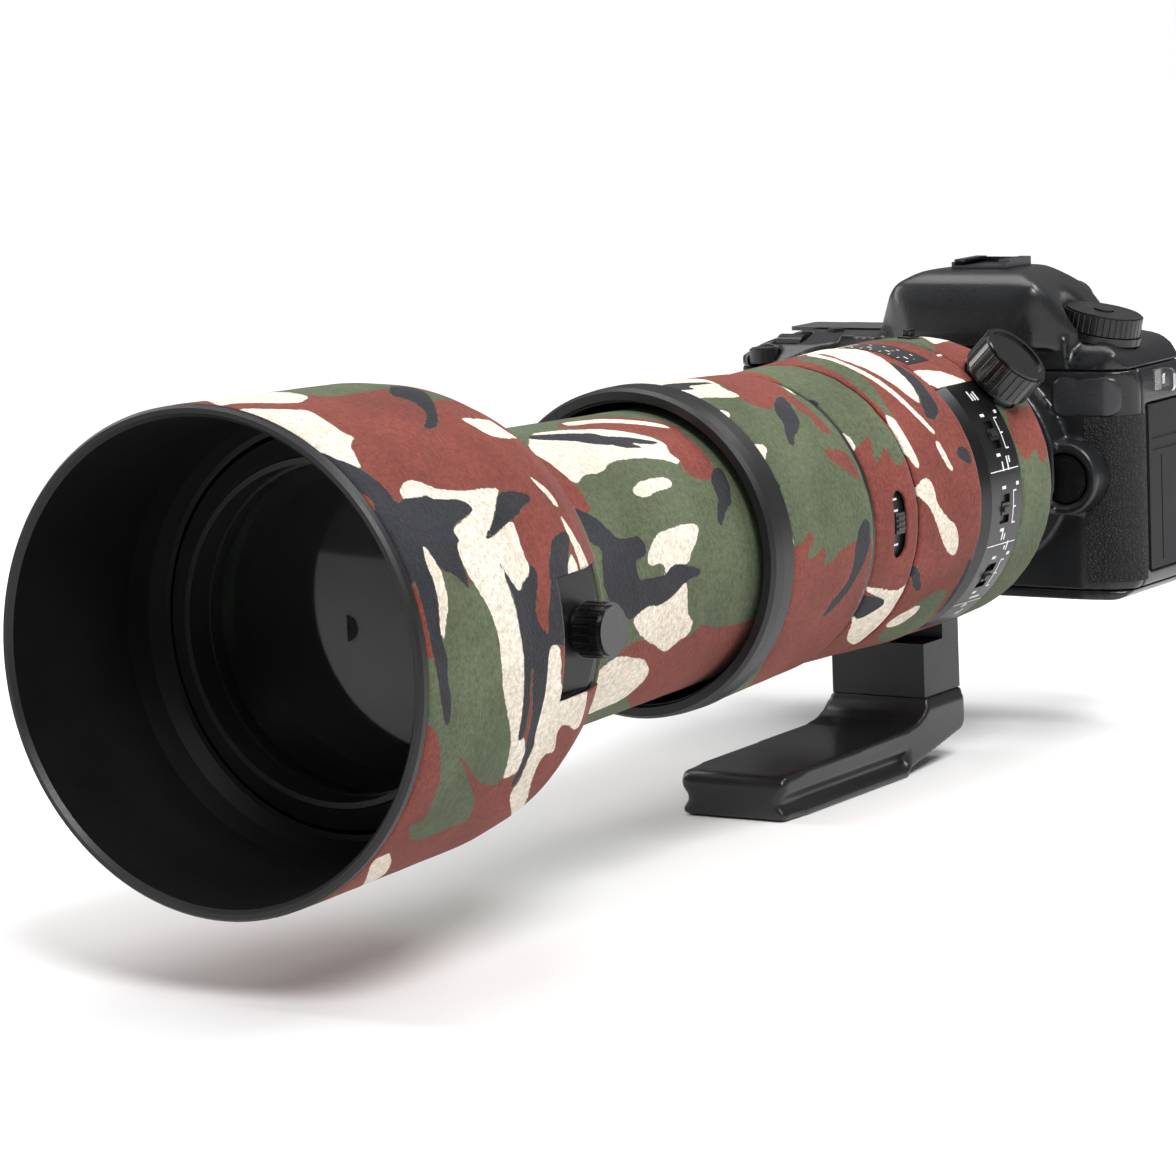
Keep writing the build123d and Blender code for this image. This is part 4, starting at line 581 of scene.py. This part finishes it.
def sleeve(name, body, node, region, profile, seed, thick=0.9, cutters=(), seam=-90.0, hem=2.6, step=1.15):
    """A neoprene sleeve: a tube of stretched cloth with rolled hems, a stitched line by each hem and a joined seam underneath."""
    y, r, t = smooth_profile(profile, step)
    total = t[-1]
    rmax = r.max()
    n = int(2 * math.pi * rmax / step)
    phi = np.linspace(0, 360, n, endpoint=False)
    edge = np.minimum(t, total - t)
    rng = np.random.default_rng(seed)
    ph = np.radians(phi)[:, None]
    T, R = t[None, :], r[None, :]
    groove = -0.16 * np.exp(-(((edge - hem) / 0.45) ** 2))[None, :]
    roll = 0.10 * np.exp(-(((edge - 1.1) / 0.9) ** 2))[None, :]
    waves = sum(
        a * np.sin(k * ph + p0) * np.exp(-edge / w)[None, :]
        for a, k, p0, w in ((0.05, 23, rng.uniform(0, 6), 6.0), (0.04, 41, rng.uniform(0, 6), 4.0), (0.04, 9, rng.uniform(0, 6), 14.0))
    )
    sag = 0.035 * np.sin(3 * ph + 0.21 * T + rng.uniform(0, 6)) * np.sin(0.13 * T + 2 * ph)
    d_seam = (np.abs((phi - seam + 180) % 360 - 180) * math.pi / 180 * rmax)[:, None]
    joined = -0.3 * np.exp(-((d_seam / 0.55) ** 2)) + 0.12 * np.exp(-(((d_seam - 1.6) / 0.7) ** 2))
    stitches = 0.05 * np.sin(2 * np.pi * ph * rmax / 2.2) * np.exp(-(((edge - hem) / 0.5) ** 2))[None, :]
    R = R + groove + roll + waves + sag + joined + stitches
    m = len(t)
    rim_t = np.linspace(0, math.pi, 4)[1:-1]
    rows = [(y, None)]
    # the loop of stations: out along the outer face, round the hem, back along the inner face, round the other hem
    ys = list(y) + [y[-1] + 0.18, y[-1] + 0.12] + list(y[::-1]) + [y[0] - 0.12, y[0] - 0.18]
    base_in = np.broadcast_to(r - thick, (n, m))
    rs = np.concatenate([R, (R[:, -1:] - thick * 0.3), (R[:, -1:] - thick * 0.75), base_in[:, ::-1], (R[:, :1] - thick * 0.75), (R[:, :1] - thick * 0.3)], 1)
    K = len(ys)
    ys = np.array(ys)
    c, s = np.cos(np.radians(phi))[:, None], np.sin(np.radians(phi))[:, None]
    co = np.stack([rs * c / 1000, np.broadcast_to((ys + MOUNT_Y) / 1000, (n, K)), (rs * s + AXIS_H) / 1000], -1).reshape(-1, 3)
    i, j = np.meshgrid(np.arange(n), np.arange(K), indexing="ij")
    a = i * K + j
    b = ((i + 1) % n) * K + j
    j2 = (j + 1) % K
    faces = np.stack([a, b, ((i + 1) % n) * K + j2, i * K + j2], -1).reshape(-1, 4)
    o = make(name, co.tolist(), faces[:, ::-1].tolist(), M["camo"])
    bm = bmesh.new()
    bm.from_mesh(o.data)
    bmesh.ops.recalc_face_normals(bm, faces=bm.faces)
    bm.to_mesh(o.data)
    bm.free()
    if cutters:
        cut(o, cutters)
        o.data.materials.clear()
        o.data.materials.append(M["camo"])
    o.data.polygons.foreach_set("use_smooth", [True] * len(o.data.polygons))
    v = np.zeros(len(o.data.vertices) * 3, np.float32)
    o.data.vertices.foreach_get("co", v)
    v = v.reshape(-1, 3) * 1000
    pv = np.degrees(np.arctan2(v[:, 2] - AXIS_H, v[:, 0]))
    F = camo_fields(pv, v[:, 1] - MOUNT_Y, region, seed, float(np.mean(r)), y.min(), y.max())
    for key, k in (("f_red", 0), ("f_dark", 1), ("f_cream", 2)):
        at = o.data.attributes.new(key, "FLOAT", "POINT")
        at.data.foreach_set("value", F[k].astype(np.float32))
    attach(o, body)
    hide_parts(node)
    bm = bmesh.new()
    bm.from_mesh(o.data)
    area = sum(f.calc_area() for f in bm.faces) / 2
    bm.free()
    return o


def box(x0, x1, y0, y1, z0, z1):
    o = [P(x0, y0, z0), P(x1, y0, z0), P(x1, y1, z0), P(x0, y1, z0)]
    return prism_from(o, Vector((0, 0, (z1 - z0) / 1000)))


def stadium_x(y0, y1, z0, z1, x0, x1, n=12):
    ra = (y1 - y0) / 2
    cy = (y0 + y1) / 2
    pts = []
    for k in range(n + 1):
        a = math.pi * k / n
        pts.append(P(x0, cy + ra * math.cos(a), z1 - ra + ra * math.sin(a)))
    for k in range(n + 1):
        a = math.pi + math.pi * k / n
        pts.append(P(x0, cy + ra * math.cos(a), z0 + ra + ra * math.sin(a)))
    return prism_from(pts, Vector(((x1 - x0) / 1000, 0, 0)))


def rod_at(phi, ym, r0, r1, rad, n=48):
    """A closed round bar pointing out from the lens axis."""
    a = math.radians(phi)
    d = Vector((math.cos(a), 0, math.sin(a)))
    side = Vector((-math.sin(a), 0, math.cos(a)))
    up = Vector((0, 1, 0))
    c0 = P(r0 * math.cos(a), ym, r0 * math.sin(a))
    pts = [c0 + (side * math.cos(2 * math.pi * k / n) + up * math.sin(2 * math.pi * k / n)) * (rad / 1000) for k in range(n)]
    return prism_from(pts, d * ((r1 - r0) / 1000))


hood_sleeve = sleeve("hood_sleeve", "hood", "hood_cover", "hood", [(-431.9, 69.35), (-430.5, 69.7), (-360, 67.5), (-345, 65.5), (-334.2, 61.5), (-333.4, 60.9)], 11,
    cutters=[box(50, 75, -364, -330, -18.2, 16.2)])
neck_sleeve = sleeve("neck_sleeve", "inner_barrel", "neck_cover", "neck", [(-332.6, 59.4), (-331.6, 59.9), (-325.5, 56.2), (-319, 50.9), (-315.6, 48.2), (-312, 46.6), (-227, 44.15), (-202, 43.65), (-201.2, 43.35)], 23)
zoom_sleeve = sleeve("zoom_sleeve", "zoom_ring", "zoom_cover", "zoom", [(-208.5, 50.6), (-207.5, 50.95), (-154.3, 48.35), (-153.6, 47.9)], 37)
band_sleeve = sleeve("band_sleeve", "lens", "band_cover", "band", [(-149.8, 47.2), (-149.0, 47.5), (-124.4, 48.12), (-123.8, 47.85)], 41, hem=1.7,
    cutters=[stadium_x(-139, -130.6, -11.2, 10.4, 40, 56)])
focus_sleeve = sleeve("focus_sleeve", "focus_ring", "focus_cover", "focus", [(-122.0, 47.85), (-121.2, 48.17), (-82.9, 49.5), (-82.3, 49.1)], 53)
panel_sleeve = sleeve("panel_sleeve", "lens", "panel_cover", "panel", [(-80.9, 48.8), (-80.4, 49.1), (-53.7, 49.1), (-53.1, 48.8)], 61, hem=1.5,
    cutters=[slab(-62.2, 48.2, -84, -50, 40, 60, 60), slab(98.6, 63.4, -79.6, -64.4, 40, 60, 24)])
collar_sleeve = sleeve("collar_sleeve", "collar", "collar_cover", "collar", [(-52.3, 48.85), (-51.3, 49.25), (-45, 49), (-29.6, 48.2), (-28.8, 47.7)], 71, hem=1.8,
    cutters=[rod_at(45, -45, 40, 60, 10.6), box(-18, 18, -64, -40.4, -60, -40)])


# ---------------------------------------------------------------- camera body skins
def soften(name, node, body, voxel, rounds, mat, factor=0.5, dome=None):
    """A moulded cover with rounded edges, made from the plain CAD cover it stands for."""
    src = NODES[node]
    o = bpy.data.objects.new(name, src.data.copy())
    bpy.context.scene.collection.objects.link(o)
    w = o.modifiers.new("weld", "WELD")
    w.merge_threshold = 1e-6
    rm = o.modifiers.new("remesh", "REMESH")
    rm.mode, rm.voxel_size, rm.use_smooth_shade = "VOXEL", voxel / 1000, True
    sm = o.modifiers.new("smooth", "SMOOTH")
    sm.factor, sm.iterations = factor, rounds
    apply_modifiers(o)
    if dome:
        # the prism housing is a round dome: its edges are worn down far more than the rest
        vg = o.vertex_groups.new(name="dome")
        for v in o.data.vertices:
            w = min(1.0, max(0.0, (v.co.z * 1000 - AXIS_H - dome[0]) / dome[1]))
            if w > 0 and abs(v.co.x) < 0.043:
                vg.add([v.index], w, "REPLACE")
        sm = o.modifiers.new("dome", "SMOOTH")
        sm.factor, sm.iterations, sm.vertex_group = 0.5, dome[2], "dome"
        apply_modifiers(o)
    o.data.materials.clear()
    o.data.materials.append(mat)
    o.data.polygons.foreach_set("use_smooth", [True] * len(o.data.polygons))
    o.data.polygons.foreach_set("material_index", np.zeros(len(o.data.polygons), np.int32))
    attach(o, body)
    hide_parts(node)
    return o


VOX = 0.85
front_skin = soften("front_shell", "front_cover", "lens", VOX, 5, M["body"])
top_skin = soften("top_shell", "top_cover", "lens", VOX, 7, M["body"], dome=(47.0, 6.0, 70))
foot_skin = soften("foot_shell", "tripod_foot", "collar", 0.7, 6, M["foot"])
# the toe of the foot is rounded off where it meets the clamp first
toe = foot_skin.vertex_groups.new(name="toe")
for v in foot_skin.data.vertices:
    w = min(1.0, max(0.0, (P(0, -150, 0).y - v.co.y) / 0.008))
    if w > 0:
        toe.add([v.index], w, "REPLACE")
sm = foot_skin.modifiers.new("toe", "SMOOTH")
sm.factor, sm.iterations, sm.vertex_group = 0.5, 60, "toe"
apply_modifiers(foot_skin)
rear_skin = soften("rear_shell", "rear_cover", "lens", VOX, 4, M["body"])
base_skin = soften("base_shell", "bottom_plate", "lens", VOX, 4, M["body"])


# ---------------------------------------------------------------- small printed and moulded details
def tube_marks(name, body, marks, r0, r1, mat):
    o = make(name, *join([slab(a, b, y0, y1, r0, r1, 3) for a, b, y0, y1 in marks]), mat, False)
    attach(o, body)
    return o


marks = []
for c0 in (24.0, -5.0, -33.0):
    # a bracket round each switch, a dot at each of its places and short bars where wording would be
    marks += [(c0 - 6.5, c0 + 6.5, -59.9, -59.4), (c0 - 6.5, c0 - 5.9, -59.9, -57.6), (c0 + 5.9, c0 + 6.5, -59.9, -57.6), (c0 - 0.3, c0 + 0.3, -59.9, -58.0)]
    marks += [(c0 - 8.8, c0 - 7.6, -67.4, -64.8), (c0 + 7.6, c0 + 8.8, -67.4, -64.8), (c0 + 8.0, c0 + 9.4, -57.4, -55.6)]
    marks += [(c0 - 14.4, c0 - 14.0, -74.0, -54.6)]
for a0, a1, y0, y1 in ((39, 43.5, -72.4, -71.6), (39, 42.2, -70.6, -69.8), (38.8, 43, -68.8, -68.0), (12.2, 14.8, -66.6, -65.8), (9.4, 14.8, -68.2, -67.4), (9.4, 13, -71.8, -71.0),
                       (-17.5, -13.5, -72, -71.2), (-17.5, -15, -70.3, -69.5), (-22.5, -18.6, -66.4, -65.6), (-22, -20.4, -68, -67.2), (-44.8, -43.8, -72.4, -66), (-50, -47, -72.2, -71.4), (-50, -48.2, -70.4, -69.6), (-55.5, -52, -68.4, -67.6), (-55.5, -53.4, -70, -69.2)):
    marks.append((a0, a1, y0 + 6.5, y1 + 6.5))
tube_marks("panel_marks", "lens", marks, 49.2, 49.36, M["white"])
ticks = [(65.5 + 4.1 * k, 65.85 + 4.1 * k, -77.6, -75.8) for k in range(8)] + [(67.5 + 8.2 * k, 69.4 + 8.2 * k, -73.8, -73.1) for k in range(4)] + [(66, 96, -71.1, -70.9)] + [(69 + 6 * k, 70.2 + 6 * k, -68.4, -67.8) for k in range(5)]
tube_marks("window_marks", "lens", ticks, 49.0, 49.14, M["white"])
tube_marks("barrel_index", "lens", [(64.4, 65.6, -56.4, -53.8)], 49.0, 49.3, M["white"])
zoom_scale = [(-9.0 + 4.5 * k, -8.2 + 4.5 * k, -136.2, -133.6) for k in range(5)]
o = make("zoom_scale", *join([slab(a, b, y0, y1, 46.15, 46.35, 2) for a, b, y0, y1 in zoom_scale]), M["white"], False)
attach(o, "lens")


def project(o, outline, depth, origin_y, name, mat, inset=0.0, grid=14):
    """A thin plate laid on a surface that faces the lens: outline is a list of (x, z), and it follows the surface under it."""
    dg = bpy.context.evaluated_depsgraph_get()
    tree = BVHTree.FromObject(o, dg)
    pts = np.array(outline, float)
    c = pts.mean(0)
    rings = [c + (pts - c) * s for s in np.linspace(0.001, 1.0, grid)]
    n = len(pts)
    top, bottom = [], []
    for k, ring in enumerate(rings):
        for x, z in ring:
            hit = tree.ray_cast(P(x, origin_y, z), Vector((0, 1, 0)))[0]
            yy = hit.y if hit is not None else P(x, origin_y + 10, z).y
            crown = depth / 1000 * (1.0 if k < grid - 1 else 0.35)
            top.append(Vector((x / 1000, yy - crown, (z + AXIS_H) / 1000)))
            bottom.append(Vector((x / 1000, yy + 0.0003, (z + AXIS_H) / 1000)))
    v = top + bottom
    f = []
    N = len(top)
    for k in range(grid - 1):
        for i in range(n):
            a, b = k * n + i, k * n + (i + 1) % n
            f.append((a, b, b + n, a + n))
            f.append((N + a + n, N + b + n, N + b, N + a))
    last = (grid - 1) * n
    for i in range(n):
        f.append((last + i, last + (i + 1) % n, N + last + (i + 1) % n, N + last + i))
    f.append(tuple(range(n))[::-1])
    f.append(tuple(N + i for i in range(n)))
    q = make(name, v, f, mat)
    bm = bmesh.new()
    bm.from_mesh(q.data)
    bmesh.ops.recalc_face_normals(bm, faces=bm.faces)
    bm.to_mesh(q.data)
    bm.free()
    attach(q, "lens")
    return q


def rounded(x0, x1, z0, z1, rad, n=6):
    pts = []
    for cx, cz, a0 in ((x1 - rad, z1 - rad, 0), (x0 + rad, z1 - rad, 90), (x0 + rad, z0 + rad, 180), (x1 - rad, z0 + rad, 270)):
        for k in range(n + 1):
            a = math.radians(a0 + 90 * k / n)
            pts.append((cx + rad * math.cos(a), cz + rad * math.sin(a)))
    return pts
project(front_skin, rounded(30.5, 54.5, 17.5, 31.0, 4.2), 0.45, -20, "badge_plate", M["badge"])
# the sound holes are not cut: each is a thin dark disc laid on the cover, painted shade where the hole is
for k in range(5):
    a = math.radians(90 + 72 * k)
    cx, cz = 38.2 + 2.1 * math.cos(a), 36.6 + 2.1 * math.sin(a)
    ring = [(cx + 0.62 * math.cos(2 * math.pi * i / 14), cz + 0.62 * math.sin(2 * math.pi * i / 14)) for i in range(14)]
    project(top_skin if cz > 33 else front_skin, ring, 0.06, -20, f"sound_hole_shade_disc_{k + 1}", M["inside"], grid=4)

# a small index nub on top of the collar sleeve
nub = make("collar_index", *join([slab(84.0, 90.0, -46.0, -39.0, 48.2, 49.9, 6), slab(85.4, 88.6, -44.6, -40.4, 49.7, 52.2, 4)]), M["knob"], False)
bev = nub.modifiers.new("bevel", "BEVEL")
bev.width, bev.segments = 0.0005, 3
apply_modifiers(nub)
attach(nub, "collar")

# ---------------------------------------------------------------- floor, light and camera
bpy.ops.mesh.primitive_plane_add(size=240, location=(0, 0, min(0.0, CAD_BOX[0].z)))
floor = bpy.context.object
floor.name = "studio_floor"
fm = bpy.data.materials.new("studio_floor")
fm.use_nodes = True
fb = fm.node_tree.nodes["Principled BSDF"]
fb.inputs["Base Color"].default_value = (0.84, 0.84, 0.84, 1)
fb.inputs["Roughness"].default_value = 0.9
fb.inputs["Specular IOR Level"].default_value = 0.1
floor.data.materials.append(fm)

world = bpy.data.worlds.new("studio")
bpy.context.scene.world = world
world.use_nodes = True
world.node_tree.nodes["Background"].inputs["Color"].default_value = (1, 1, 1, 1)
world.node_tree.nodes["Background"].inputs["Strength"].default_value = 0.2


def sun(name, direction, strength, angle):
    d = bpy.data.lights.new(name, "SUN")
    d.energy, d.angle = strength, math.radians(angle)
    o = bpy.data.objects.new(name, d)
    bpy.context.scene.collection.objects.link(o)
    o.rotation_euler = Vector(direction).to_track_quat("Z", "Y").to_euler()
    return o


def softbox(name, place, target, size, power):
    d = bpy.data.lights.new(name, "AREA")
    d.shape, d.size, d.size_y, d.energy = "RECTANGLE", size[0], size[1], power
    o = bpy.data.objects.new(name, d)
    bpy.context.scene.collection.objects.link(o)
    o.location = place
    o.rotation_euler = (Vector(place) - Vector(target)).to_track_quat("Z", "Y").to_euler()
    return o


sun("key", (0.80, -0.62, 1.15), 2.5, 24)
sun("top", (-0.25, 0.2, 1.0), 1.45, 44)
softbox("overhead", (0.5, 0.55, 1.15), (0.02, 0.1, 0.12), (0.9, 0.35), 9)
softbox("left_rim", (-1.0, -0.2, 0.6), (0.0, -0.05, 0.1), (0.4, 0.9), 6)

cam_data = bpy.data.cameras.new("camera")
cam_data.sensor_width, cam_data.lens = 36.0, 140.11
cam_data.clip_start, cam_data.clip_end = 0.05, 300
cam_data.dof.use_dof = False
cam = bpy.data.objects.new("camera", cam_data)
bpy.context.scene.collection.objects.link(cam)
back = Vector((0.53117555, -0.83481648, 0.14468581))
right = Vector((0, 0, 1)).cross(back).normalized()
up = back.cross(right)
roll = math.radians(-2.27)
r_ = right * math.cos(roll) + up * math.sin(roll)
u_ = right * -math.sin(roll) + up * math.cos(roll)
rot = Matrix((r_, u_, back)).transposed().to_4x4()
cam.matrix_world = Matrix.Translation(Vector((0.73184, -1.27165, 0.28553))) @ rot
bpy.context.scene.camera = cam

vs = bpy.context.scene.view_settings
vs.view_transform, vs.look, vs.exposure, vs.gamma = "Standard", "None", 0.0, 1.0

bpy.context.view_layer.update()
